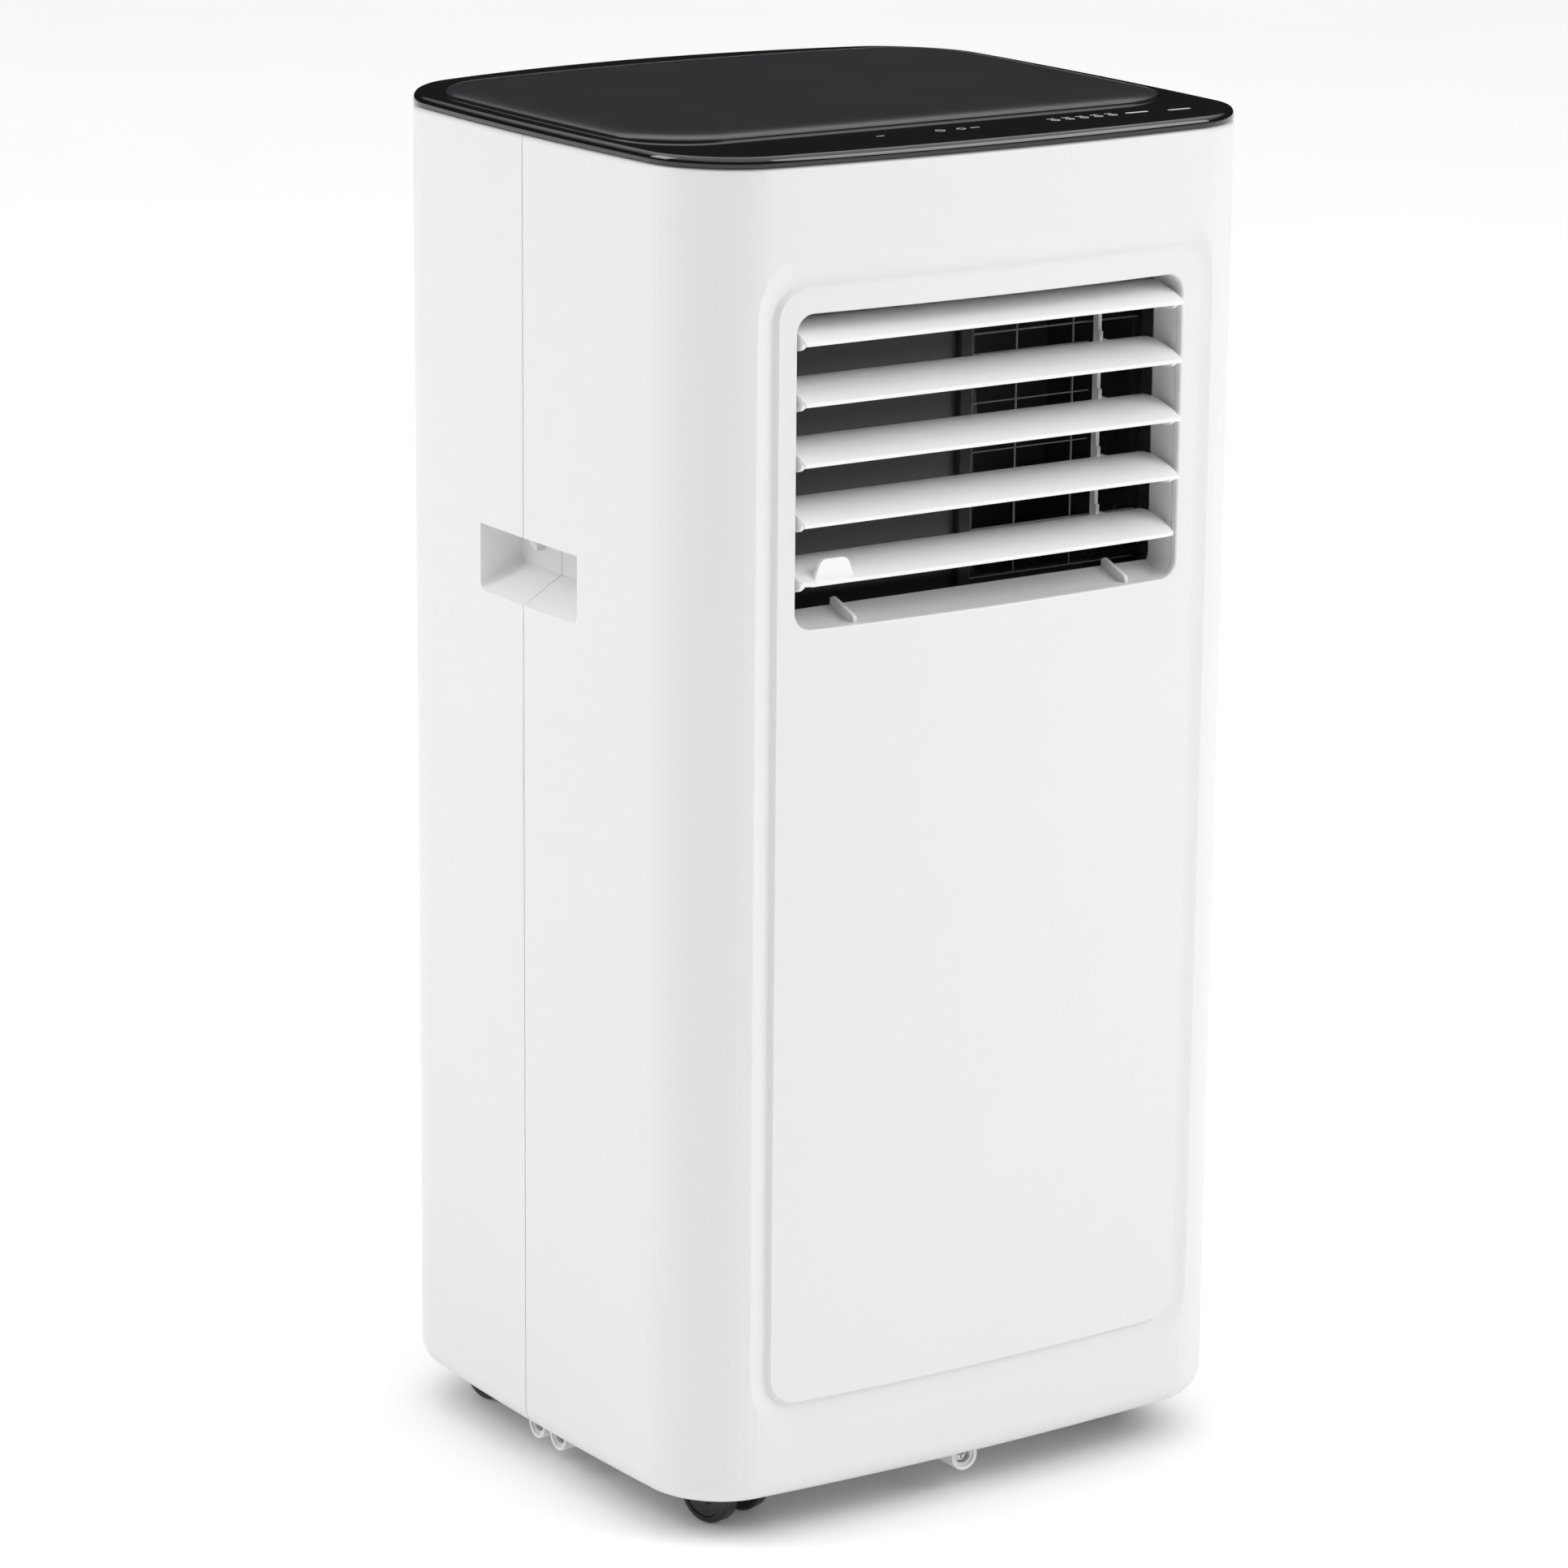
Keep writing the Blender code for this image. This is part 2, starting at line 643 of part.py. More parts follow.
def blade(front_edge, bow, chord_steps=7, span_steps=1):
    """A cambered blade across the outlet, whose front edge may swell forwards in its middle."""
    depths = [LOUVER_CHORD * i / chord_steps for i in range(chord_steps + 1)]
    outline = [(d, blade_section(d)[0]) for d in depths] + [(d, blade_section(d)[1]) for d in reversed(depths)]
    shape = prism([(LOUVER_FRONT + d, front_edge + z) for d, z in outline], X, -LOUVER_HALF, LOUVER_HALF)
    for step in range(1, span_steps):
        place = X * (LOUVER_HALF * (2 * step / span_steps - 1))
        everything = [*shape.verts, *shape.edges, *shape.faces]
        bmesh.ops.bisect_plane(shape, geom=everything, plane_co=place, plane_no=X)
    for vert in shape.verts:
        share = 1 - (vert.co.y - LOUVER_FRONT) / LOUVER_CHORD
        vert.co.y += bow * share * (vert.co.x / LOUVER_HALF) ** 2
    return shape


def end_lug(front_edge, side):
    """The hook under a blade's end, down to its pivot."""
    inner, outer = side * (LOUVER_HALF - 0.0028), side * LOUVER_HALF
    hang = 0.0034
    points = [
        (PIVOT_Y - 0.0045, front_edge + 0.003),
        (PIVOT_Y - 0.0032, front_edge - hang * 0.6),
        (PIVOT_Y, front_edge - hang),
        (PIVOT_Y + 0.0032, front_edge - hang * 0.6),
        (PIVOT_Y + 0.0045, front_edge + 0.004),
    ]
    return prism(points, X, *sorted((inner, outer)))


def louver(index, parent):
    edge = louver_z(index)
    last = index == LOUVER_COUNT - 1
    shape = blade(edge, 0.004 if last else 0.0, span_steps=8 if last else 1)
    obj = new_object(f"louver_{index + 1}", shape, WHITE, parent)
    join(obj, *[end_lug(edge, side) for side in (-1, 1)])
    reach = OUTLET_WIDTH / 2 + FRAME_WALL
    for side in (-1, 1):
        ends = sorted((side * (LOUVER_HALF - 0.001), side * reach))
        join(obj, cylinder((0, PIVOT_Y, edge), X, PIVOT_RADIUS, *ends, sides=12))
    tab_x = LINK_X + LINK_THICKNESS / 2 + GAP
    pin = (0, LINK_PIN_Y, edge + LINK_PIN_RISE)
    join(
        obj,
        box(
            (tab_x, LINK_PIN_Y - LINK_WIDTH / 2 - LINK_GAP - 0.0019, edge + LINK_PIN_RISE - 0.0018),
            (tab_x + 0.002, LINK_PIN_Y + 0.0018, edge + LOUVER_RISE),
        ),
        cylinder(pin, X, LINK_PIN_RADIUS, LINK_X - LINK_THICKNESS / 2 - 0.0008, tab_x + 0.001, sides=10),
    )
    if last:
        left = -LOUVER_HALF + 0.004
        tab = [(left, edge), (left + 0.020, edge), (left + 0.0165, edge + 0.0115), (left + 0.004, edge + 0.0115)]
        join(obj, prism(tab, Y, LOUVER_FRONT + 0.0036, LOUVER_FRONT + 0.0062))
    return obj


def louver_link(parent):
    """The upright bar that ties the louvers together, on a pin of each."""
    top = louver_z(0) + LINK_PIN_RISE
    foot = louver_z(LOUVER_COUNT - 1) + LINK_PIN_RISE
    low, high = LINK_X - LINK_THICKNESS / 2, LINK_X + LINK_THICKNESS / 2
    half = LINK_WIDTH / 2
    arc = [math.radians(180 * i / 6) for i in range(7)]
    points = [(LINK_PIN_Y + half * math.cos(a), top + half * math.sin(a)) for a in arc]
    points += [(LINK_PIN_Y - half * math.cos(a), foot - half * math.sin(a)) for a in arc]
    bar = new_object("louver_link", prism(points, X, low, high), WHITE, parent)
    holes = []
    for index in range(LOUVER_COUNT):
        pin = (0, LINK_PIN_Y, louver_z(index) + LINK_PIN_RISE)
        holes.append(cylinder(pin, X, LINK_PIN_RADIUS + PIVOT_CLEARANCE, low - 0.001, high + 0.001, sides=10))
    return cut(bar, *holes)


GUARD_Y = FRAME_BACK + 0.016
GUARD_DEPTH = 0.002
GUARD_LEFT = 0.0150
GUARD_RIGHT = OUTLET_WIDTH / 2 + 0.004
SCROLL_FRONT = GUARD_Y + GUARD_DEPTH + GAP


def outlet_guard():
    """The wire guard over the blower's mouth."""
    low, high = FLOOR + OUTLET_LOW + 0.002, FLOOR + OUTLET_HIGH - 0.002
    guard = new_object(
        "outlet_guard",
        box((GUARD_LEFT, GUARD_Y, low), (GUARD_RIGHT, GUARD_Y + GUARD_DEPTH, high)),
        LIGHT_GREY,
    )
    columns, rows, wire = 4, 5, 0.0016
    wide, tall = (GUARD_RIGHT - GUARD_LEFT - wire) / columns, (high - low - wire) / rows
    holes = []
    for column in range(columns):
        for row in range(rows):
            x, z = GUARD_LEFT + wire + column * wide, low + wire + row * tall
            corner = (x + wide - wire, GUARD_Y + GUARD_DEPTH + 0.001, z + tall - wire)
            holes.append(box((x, GUARD_Y - 0.001, z), corner))
    return cut(guard, *holes)


# ---------------------------------------------------------------- blowers


def blower_wheel(name, centre_x, centre_z, low, parent):
    """A squirrel-cage wheel about Y: a ring of blades between two rims, on a hub disc."""
    centre = (centre_x, 0, centre_z)
    high = low + BLOWER_LENGTH
    wheel = new_object(name, cylinder(centre, Y, BLOWER_RADIUS, low, high, 32), DARK_GREY, parent)
    cut(wheel, cylinder(centre, Y, BLOWER_RADIUS - 0.010, low - 0.01, high + 0.01, 32))
    slots = []
    rim = 0.004
    for i in range(BLADES):
        turn = Matrix.Rotation(2 * math.pi * i / BLADES, 4, "Y")
        slot = box((-0.0075, low + rim, BLOWER_RADIUS - 0.016), (0.0075, high - rim, BLOWER_RADIUS + 0.004))
        bmesh.ops.transform(slot, matrix=Matrix.Translation((centre_x, 0, centre_z)) @ turn, verts=slot.verts)
        slots.append(slot)
    cut(wheel, *slots)
    disc = (low + 0.0006, low + 0.0034)
    hub = (low + 0.0003, low + 0.014)
    join(
        wheel,
        cylinder(centre, Y, BLOWER_RADIUS - 0.005, *disc, 32),
        cylinder(centre, Y, 0.010, *hub, 16),
    )
    return cut(wheel, cylinder(centre, Y, 0.004 + GAP, low - 0.01, high + 0.01, 12))


SCROLL_HALF = OUTLET_WIDTH / 2 + SCROLL_OVERHANG
UPPER_AXIS = (SCROLL_WALL - SCROLL_HALF + BLOWER_SIDE_GAP + BLOWER_RADIUS, FLOOR + OUTLET_LOW + 0.076)
UPPER_BACK = SCROLL_FRONT + 0.016
SCROLL_REAR = UPPER_BACK + BLOWER_LENGTH + 0.008


def blower_scroll():
    """The dark housing behind the louvers: a flat front wall, the volute and the mouth on the right."""
    low, high = FLOOR + OUTLET_LOW - 0.006, FLOOR + OUTLET_HIGH + 0.006
    half = SCROLL_HALF
    scroll = new_object("blower_scroll", box((-half, SCROLL_FRONT, low), (half, SCROLL_REAR, high)), DARK_GREY)
    inner = rounded_rectangle(-half + SCROLL_WALL, half - SCROLL_WALL, low + SCROLL_WALL, high - SCROLL_WALL, 0.05, 6)
    cut(scroll, prism(inner, Y, SCROLL_FRONT + SCROLL_WALL, SCROLL_REAR - SCROLL_WALL))
    mouth = rounded_rectangle(
        GUARD_LEFT + 0.003, GUARD_RIGHT - 0.003, low + 0.010, high - 0.010, 0.006, 2
    )
    cut(scroll, prism(mouth, Y, SCROLL_FRONT - 0.01, SCROLL_FRONT + 0.01))
    x, z = UPPER_AXIS
    cut(scroll, cylinder((x, 0, z), Y, BLOWER_RADIUS - 0.008, SCROLL_REAR - 0.01, SCROLL_REAR + 0.01, 32))
    return scroll


def motor(name, x, z, face, reach):
    """A can motor against a wall, with its shaft through the wheel's hub."""
    centre = (x, 0, z)
    body = (face, face + 0.012)
    shaft = (face + 0.010, face + reach)
    made = new_object(name, soften(cylinder(centre, Y, 0.032, *body, 24), 0.002), GALVANISED)
    return join(made, cylinder(centre, Y, 0.004, *shaft, sides=12))


LOWER_AXIS = (0.046, FLOOR + 0.135)
EXHAUST_FRONT = -0.012
EXHAUST_REAR = EXHAUST_FRONT + BLOWER_LENGTH + 0.028
EXHAUST_BACK = EXHAUST_FRONT + 0.017


def exhaust_housing():
    """The lower blower's volute and the duct up to the exhaust collar."""
    x, z = LOWER_AXIS
    wall, reach = SCROLL_WALL, BLOWER_RADIUS + 0.008
    top = COLLAR_Z + COLLAR_RADIUS + 0.010
    half = COLLAR_RADIUS + 0.010
    base = z - reach
    outer = [(x + reach, base + 0.01), (x + reach, z + reach), (half, COLLAR_Z - 0.02), (half, top)]
    outer += [(-half, top), (-half, COLLAR_Z - 0.03), (x - reach, z + 0.01), (x - reach, base + 0.01)]
    outer += [(x - reach + 0.03, base), (x + reach - 0.03, base)]
    housing = new_object("exhaust_housing", prism(outer, Y, EXHAUST_FRONT, EXHAUST_REAR), DARK_GREY)
    middle_x, middle_z = x / 2, (base + top) / 2
    wide, tall = x + reach - middle_x, top - middle_z
    inner = [
        (middle_x + (px - middle_x) * (1 - wall / wide), middle_z + (pz - middle_z) * (1 - wall / tall))
        for px, pz in outer
    ]
    cut(housing, prism(inner, Y, EXHAUST_FRONT + wall, EXHAUST_REAR - wall))
    inlet = cylinder((x, 0, z), Y, BLOWER_RADIUS - 0.008, EXHAUST_REAR - 0.01, EXHAUST_REAR + 0.01, 32)
    outlet = cylinder((0, 0, COLLAR_Z), Y, COLLAR_RADIUS - 0.002, EXHAUST_REAR - 0.01, EXHAUST_REAR + 0.01, 32)
    return cut(housing, inlet, outlet)


def exhaust_collar():
    """The round socket for the exhaust hose, set into the rear shell."""
    centre = (0, 0, COLLAR_Z)
    start, end = EXHAUST_REAR + GAP, back_y(COLLAR_RADIUS + COLLAR_WALL) - 0.001
    collar = new_object(
        "exhaust_collar", cylinder(centre, Y, COLLAR_RADIUS + COLLAR_WALL, start, end, 40), LIGHT_GREY
    )
    return cut(collar, cylinder(centre, Y, COLLAR_RADIUS, start - 0.01, end + 0.01, 40))


# ---------------------------------------------------------------- rear grilles


def grille(name, heights, rows, parent=None):
    """A flush panel of the rear wall with two columns of air slots."""
    shape = body_solid(0, FLOOR, BODY_TOP, 0.0)
    panel = new_object(name, shape, WHITE, parent)
    cut(panel, body_solid(WALL, FLOOR - 0.01, BODY_TOP + 0.01, 0.0))
    keep(panel, grille_hole(heights, -FIT))
    border, rib = 0.012, 0.008
    pitch = (heights[1] - heights[0] - 2 * border) / rows
    slots = []
    for row in range(rows):
        z = heights[0] + border + (row + 0.5) * pitch
        for side in (-1, 1):
            left, right = sorted((side * rib / 2, side * (GRILLE_HALF - border)))
            low, high = z - pitch * 0.28, z + pitch * 0.28
            slots.append(box((left, BACK_LINE - 0.03, low), (right, BODY_DEPTH / 2 + 0.01, high)))
    return cut(panel, *slots)


FILTER_Y = back_y(GRILLE_HALF) - WALL - 0.004


def air_filter(parent):
    """A flat framed mesh screen clipped behind the upper grille."""
    half = GRILLE_HALF - 0.003
    low, high = UPPER_GRILLE[0] + 0.003, UPPER_GRILLE[1] - 0.003
    screen = new_object("air_filter", box((-half, FILTER_Y - 0.003, low), (half, FILTER_Y, high)), FILTER_MESH, parent)
    panes = []
    for column in (-1, 1):
        for row in range(2):
            left, right = sorted((column * 0.003, column * (half - 0.006)))
            tall = (high - low - 0.006) / 2
            z = low + 0.003 + row * tall
            panes.append(box((left, FILTER_Y - 0.002, z + 0.003), (right, FILTER_Y + 0.001, z + tall - 0.003)))
    return cut(screen, *panes)


# ---------------------------------------------------------------- cooling circuit


def coil(name, low, high):
    """A finned heat exchanger: a slotted aluminium block between two steel end plates."""
    low, high = Vector(low), Vector(high)
    block = new_object(name, box(low, high), ALUMINIUM_FIN)
    fins, thickness = 14, 0.004
    step = (high.x - low.x - thickness) / fins
    slots = []
    for i in range(fins):
        x = low.x + thickness + i * step
        slots.append(box((x, low.y - 0.01, low.z + 0.006), (x + step - thickness, low.y + 0.012, high.z - 0.006)))
    return cut(block, *slots)


def pipe(name, route, radius):
    """A copper tube along a smooth route."""
    data = bpy.data.curves.new(name, "CURVE")
    data.dimensions = "3D"
    data.bevel_depth = radius
    data.bevel_resolution = 2
    data.use_fill_caps = True
    spline = data.splines.new("POLY")
    spline.points.add(len(route) - 1)
    for point, place in zip(spline.points, route):
        point.co = (*place, 1)
    obj = bpy.data.objects.new(name, data)
    data.materials.append(COPPER)
    PARTS.objects.link(obj)
    return obj


def bent(corners, radius, steps=3):
    """A route through corners with each bend rounded by an arc-like curve."""
    corners = [Vector(c) for c in corners]
    route = [corners[0]]
    for before, corner, after in zip(corners, corners[1:], corners[2:]):
        start = corner + (before - corner).normalized() * radius
        end = corner + (after - corner).normalized() * radius
        for i in range(steps + 1):
            t = i / steps
            route.append(start * (1 - t) ** 2 + corner * 2 * t * (1 - t) + end * t**2)
    return [*route, corners[-1]]


COMPRESSOR = (-0.082, -0.078)
COMPRESSOR_LOW = PAN_TOP + 0.012


def compressor():
    """The welded steel compressor can with its three-lobed foot plate."""
    x, y = COMPRESSOR
    can = cylinder((x, y, 0), Z, COMPRESSOR_RADIUS, COMPRESSOR_LOW, COMPRESSOR_LOW + COMPRESSOR_HEIGHT, 32)
    obj = new_object("compressor", soften(can, 0.016, 3), BLACK_ENAMEL)
    reach = COMPRESSOR_RADIUS + 0.012
    points = [(x + reach * math.cos(a), y + reach * math.sin(a)) for a in foot_angles()]
    foot = soften(prism(points, Z, COMPRESSOR_LOW - 0.001, COMPRESSOR_LOW + 0.002), 0.012, 3, 100)
    return join(obj, foot)


def foot_angles():
    return [math.radians(30 + 120 * i) for i in range(3)]


def compressor_feet():
    """Three rubber grommets between the base pan and the compressor's foot plate."""
    x, y = COMPRESSOR
    for i, angle in enumerate(foot_angles()):
        reach = COMPRESSOR_RADIUS - 0.006
        centre = (x + reach * math.cos(angle), y + reach * math.sin(angle), 0)
        shape = soften(cylinder(centre, Z, 0.009, PAN_TOP + GAP, COMPRESSOR_LOW - 0.001 - GAP, 16), 0.0015, 1)
        new_object(f"compressor_foot_{i + 1}", shape, RUBBER)


ACCUMULATOR_X, ACCUMULATOR_Y = COMPRESSOR[0] + COMPRESSOR_RADIUS + 0.024, COMPRESSOR[1] - 0.008


def accumulator():
    """The suction accumulator bottle beside the compressor."""
    centre = (ACCUMULATOR_X, ACCUMULATOR_Y, 0)
    low = COMPRESSOR_LOW + 0.035
    return new_object("accumulator", soften(cylinder(centre, Z, 0.019, low, low + 0.120, 20), 0.008, 2), BLACK_ENAMEL)


EVAPORATOR = ((-0.128, 0.078, FLOOR + TRAY_LOW + 0.006), (0.128, 0.103, FLOOR + 0.615))
CONDENSER = ((-0.128, 0.078, PAN_TOP + 0.006), (0.128, 0.103, LOWER_GRILLE[1] + 0.007))


PIPE_RADIUS = 0.004
LIQUID_RADIUS = 0.0025
SUCTION_RISE = (-0.1235, 0.020)
LIQUID_RISE = (0.1245, 0.056)


def pipes():
    """Suction from the evaporator to the bottle, discharge to the condenser, and the thin liquid line back."""
    x, y = COMPRESSOR
    top = COMPRESSOR_LOW + COMPRESSOR_HEIGHT
    bottle = COMPRESSOR_LOW + 0.155
    coil_face = EVAPORATOR[0][1] - GAP
    rise_x, rise_y = SUCTION_RISE
    suction = [
        (ACCUMULATOR_X, ACCUMULATOR_Y, bottle + GAP),
        (ACCUMULATOR_X, ACCUMULATOR_Y, bottle + 0.100),
        (rise_x, ACCUMULATOR_Y + 0.02, bottle + 0.100),
        (rise_x, rise_y, bottle + 0.100),
        (rise_x, rise_y, FLOOR + 0.450),
        (rise_x, coil_face, FLOOR + 0.450),
    ]
    discharge = [
        (x, y, top + GAP),
        (x, y, top + 0.030),
        (-0.098, -0.03, top + 0.030),
        (-0.098, 0.05, top - 0.02),
        (-0.098, 0.05, PAN_TOP + 0.120),
        (-0.098, coil_face, PAN_TOP + 0.120),
    ]
    turn_x, turn_y = LIQUID_RISE
    liquid = [
        (turn_x, coil_face, PAN_TOP + 0.150),
        (turn_x, turn_y, PAN_TOP + 0.150),
        (turn_x, turn_y, FLOOR + 0.430),
        (turn_x, coil_face, FLOOR + 0.430),
    ]
    pipe("suction_pipe", bent(suction, 0.014), PIPE_RADIUS)
    pipe("discharge_pipe", bent(discharge, 0.013), PIPE_RADIUS)
    pipe("liquid_pipe", bent(liquid, 0.009), LIQUID_RADIUS)


# ---------------------------------------------------------------- base and tray


def base_pan():
    """The steel pan that carries the compressor, the condenser and the casters."""
    inset = WALL + FIT
    pan = new_object("base_pan", prism(plan(inset), Z, PAN_LOW, PAN_LOW + PAN_RIM), GALVANISED)
    cut(pan, prism(plan(inset + 0.002), Z, PAN_TOP, PAN_LOW + PAN_RIM + 0.01))
    holes = [cylinder((x, y, 0), Z, STEM_RADIUS + GAP, PAN_LOW - 0.01, PAN_TOP + 0.01, 16) for x, y in casters()]
    return cut(pan, *holes)


def drip_tray():
    """The tray between the two halves, which holds the evaporator, with a raised collar round each pipe."""
    low = FLOOR + TRAY_LOW
    edge, front, back, wall = 0.132, -0.100, 0.112, 0.002
    outer = rounded_rectangle(-edge, edge, front, back, 0.010, 2)
    inner = rounded_rectangle(wall - edge, edge - wall, front + wall, back - wall, 0.008, 2)
    tray = new_object("drip_tray", prism(outer, Z, low, low + TRAY_HEIGHT), LIGHT_GREY)
    cut(tray, prism(inner, Z, low + 0.003, low + TRAY_HEIGHT + 0.01))
    pipes = ((SUCTION_RISE, PIPE_RADIUS), (LIQUID_RISE, LIQUID_RADIUS))
    for (x, y), radius in pipes:
        join(tray, cylinder((x, y, 0), Z, radius + FIT + 0.0015, low, low + TRAY_HEIGHT, 12))
    holes = [cylinder((x, y, 0), Z, radius + FIT, low - 0.01, low + 0.03, 12) for (x, y), radius in pipes]
    return cut(tray, *holes)


def casters():
    """Plan positions of the four swivel stems."""
    front, back = FRONT_LINE + CASTER_FRONT, BACK_LINE - CASTER_BACK
    return [(-CASTER_X, front), (CASTER_X, front), (-CASTER_X, back), (CASTER_X, back)]


def caster(number, x, y, turn):
    """A twin-wheel caster: a swivelling hood on a stem, and a pair of wheels on one axle, turned about the stem."""
    swing = Matrix.Translation((x, y, 0)) @ Matrix.Rotation(math.radians(turn), 4, "Z") @ Matrix.Translation((-x, -y, 0))

    def turned(shape):
        bmesh.ops.transform(shape, matrix=swing, verts=shape.verts)
        return shape

    swivel = joint_axis(f"caster_{number}_axis", (x, y, 0))
    axle_y = y - CASTER_TRAIL
    centre = (x, axle_y, WHEEL_RADIUS)
    spin = joint_axis(f"caster_wheel_{number}_axis", swing @ Vector(centre))
    web = WHEEL_OFFSET - WHEEL_WIDTH / 2 - 0.0008
    arc = [math.radians(200 + 140 * i / 6) for i in range(7)]
    hood = [(axle_y + 0.007 * math.cos(a), WHEEL_RADIUS + 0.007 * math.sin(a)) for a in arc]
    hood += [(axle_y + 0.016, WHEEL_RADIUS + 0.010), (y + 0.013, CASTER_HEIGHT - 0.006)]
    hood += [(y + 0.013, CASTER_HEIGHT - 0.001), (y - 0.013, CASTER_HEIGHT - 0.001)]
    hood += [(axle_y - 0.010, WHEEL_RADIUS + 0.014)]
    fork = new_object(f"caster_{number}", turned(prism(hood, X, x - web, x + web)), BLACK_NYLON, swivel)
    roof = []
    for i in range(9):
        a = math.radians(10 + 160 * i / 8)
        roof.append((axle_y + (WHEEL_RADIUS + 0.0030) * math.cos(a), WHEEL_RADIUS + (WHEEL_RADIUS + 0.0030) * math.sin(a)))
    for i in range(9):
        a = math.radians(170 - 160 * i / 8)
        roof.append((axle_y + (WHEEL_RADIUS + 0.0012) * math.cos(a), WHEEL_RADIUS + (WHEEL_RADIUS + 0.0012) * math.sin(a)))
    width = WHEEL_OFFSET + WHEEL_WIDTH / 2
    join(
        fork,
        turned(prism(roof, X, x - width, x + width)),
        cylinder((x, y, 0), Z, 0.013, CASTER_HEIGHT - 0.006, CASTER_HEIGHT, 20),
        cylinder((x, y, 0), Z, STEM_RADIUS, CASTER_HEIGHT - 0.001, PAN_TOP + 0.003, 12),
    )
    cut(fork, turned(cylinder(centre, X, AXLE_RADIUS + 0.0002, x - 0.02, x + 0.02, 16)))
    axle = cylinder(centre, X, AXLE_RADIUS, x - width + 0.001, x + width - 0.001, 16)
    wheels = new_object(f"caster_wheel_{number}", turned(axle), BLACK_NYLON, spin)
    for side in (-1, 1):
        ends = sorted((x + side * (width - WHEEL_WIDTH), x + side * width))
        join(wheels, turned(soften(cylinder(centre, X, WHEEL_RADIUS, *ends, sides=28), 0.0016, 1)))
    return fork, wheels


# ---------------------------------------------------------------- electrics and small rear pieces


def control_box():
    """The wiring box under the top cover."""
    low, high = FLOOR + 0.592, FLOOR + 0.634
    obj = new_object("control_box", soften(box((-0.095, 0.005, low), (0.045, 0.068, high)), 0.002, 1), GALVANISED)
    return cut(obj, box((-0.092, 0.008, low + 0.003), (0.042, 0.065, high + 0.01)))


def run_capacitor():
    low = FLOOR + 0.596
    can = soften(cylinder((0.072, 0.036, 0), Z, 0.018, low, low + 0.038, 20), 0.002, 1)
    return new_object("run_capacitor", can, ALUMINIUM_FIN)


def drain_plug(name, place, parent):
    """A rubber stopper with a pull tab."""
    x, z = place
    face = back_y(x)
    plug = new_object(
        name, cylinder((x, 0, z), Y, DRAIN_RADIUS - GAP, face - 0.016, face - 0.002, 16, DRAIN_RADIUS - 0.0006), RUBBER, parent
    )
    return join(plug, box((x - 0.0015, face - 0.003, z - 0.005), (x + 0.0015, face + 0.003, z + 0.005)))


def cord_gland():
    """The bushing where the mains lead enters."""
    x, z = GLAND
    face = back_y(x)
    gland = new_object("cord_gland", cylinder((x, 0, z), Y, GLAND_RADIUS, face - 0.014, face - 0.001, 20), BLACK_NYLON)
    return cut(gland, cylinder((x, 0, z), Y, 0.0042, face - 0.02, face + 0.01, 16))


def build():
    front_shell()
    rear_shell()
    for side, name in ((-1, "left"), (1, "right")):
        for place, y in (("front", SEAM_Y - SIDE_LUG_OFFSET), ("rear", SEAM_Y + SIDE_LUG_OFFSET)):
            lug_screw(f"screw_{name}_{place}", (side * SIDE_LUG_X, y, LUG_Z), X, side)
    lug_screw("screw_front", (0, FRONT_LUG_Y, LUG_Z), Y, -1)
    top_bezel()
    top_plate()
    control_board()
    outlet_frame()
    pivots = []
    for index in range(LOUVER_COUNT):
        pivots.append(joint_axis(f"louver_{index + 1}_axis", (0, PIVOT_Y, louver_z(index))))
        louver(index, pivots[-1])
    louver_link(pivots[-1])
    outlet_guard()
    blower_scroll()
    upper = joint_axis("blower_axis", (UPPER_AXIS[0], 0, UPPER_AXIS[1]))
    blower_wheel("blower_wheel", *UPPER_AXIS, UPPER_BACK, upper)
    motor("blower_motor", *UPPER_AXIS, SCROLL_FRONT + SCROLL_WALL + GAP, 0.028)
    exhaust_housing()
    lower = joint_axis("exhaust_axis", (LOWER_AXIS[0], 0, LOWER_AXIS[1]))
    blower_wheel("exhaust_wheel", *LOWER_AXIS, EXHAUST_BACK, lower)
    motor("exhaust_motor", *LOWER_AXIS, EXHAUST_FRONT + SCROLL_WALL + GAP, 0.028)
    exhaust_collar()
    cover = joint_axis("filter_cover_axis", (0, back_y(0), sum(UPPER_GRILLE) / 2))
    grille("filter_cover", UPPER_GRILLE, 10, cover)
    air_filter(cover)
    grille("lower_grille", LOWER_GRILLE, 7)
    coil("evaporator_coil", *EVAPORATOR)
    coil("condenser_coil", *CONDENSER)
    compressor()
    compressor_feet()
    accumulator()
    pipes()
    base_pan()
    drip_tray()
    for number, ((x, y), turn) in enumerate(zip(casters(), CASTER_TURNS), 1):
        caster(number, x, y, turn)
    control_box()
    run_capacitor()
    drain_plug("upper_drain_plug", UPPER_DRAIN, joint_axis("upper_drain_axis", (UPPER_DRAIN[0], 0, UPPER_DRAIN[1])))
    drain_plug("lower_drain_plug", LOWER_DRAIN, joint_axis("lower_drain_axis", (LOWER_DRAIN[0], 0, LOWER_DRAIN[1])))
    cord_gland()


build()
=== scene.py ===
"""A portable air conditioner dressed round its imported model: shells, louvers, casters, finishes.

Metres, +Z up. The front faces -Y, and the origin is on the floor under the middle of the body.
"""

import json
import math

import bmesh
import bpy
from bpy.props import FloatProperty, FloatVectorProperty, IntProperty, PointerProperty
from mathutils import Matrix, Vector


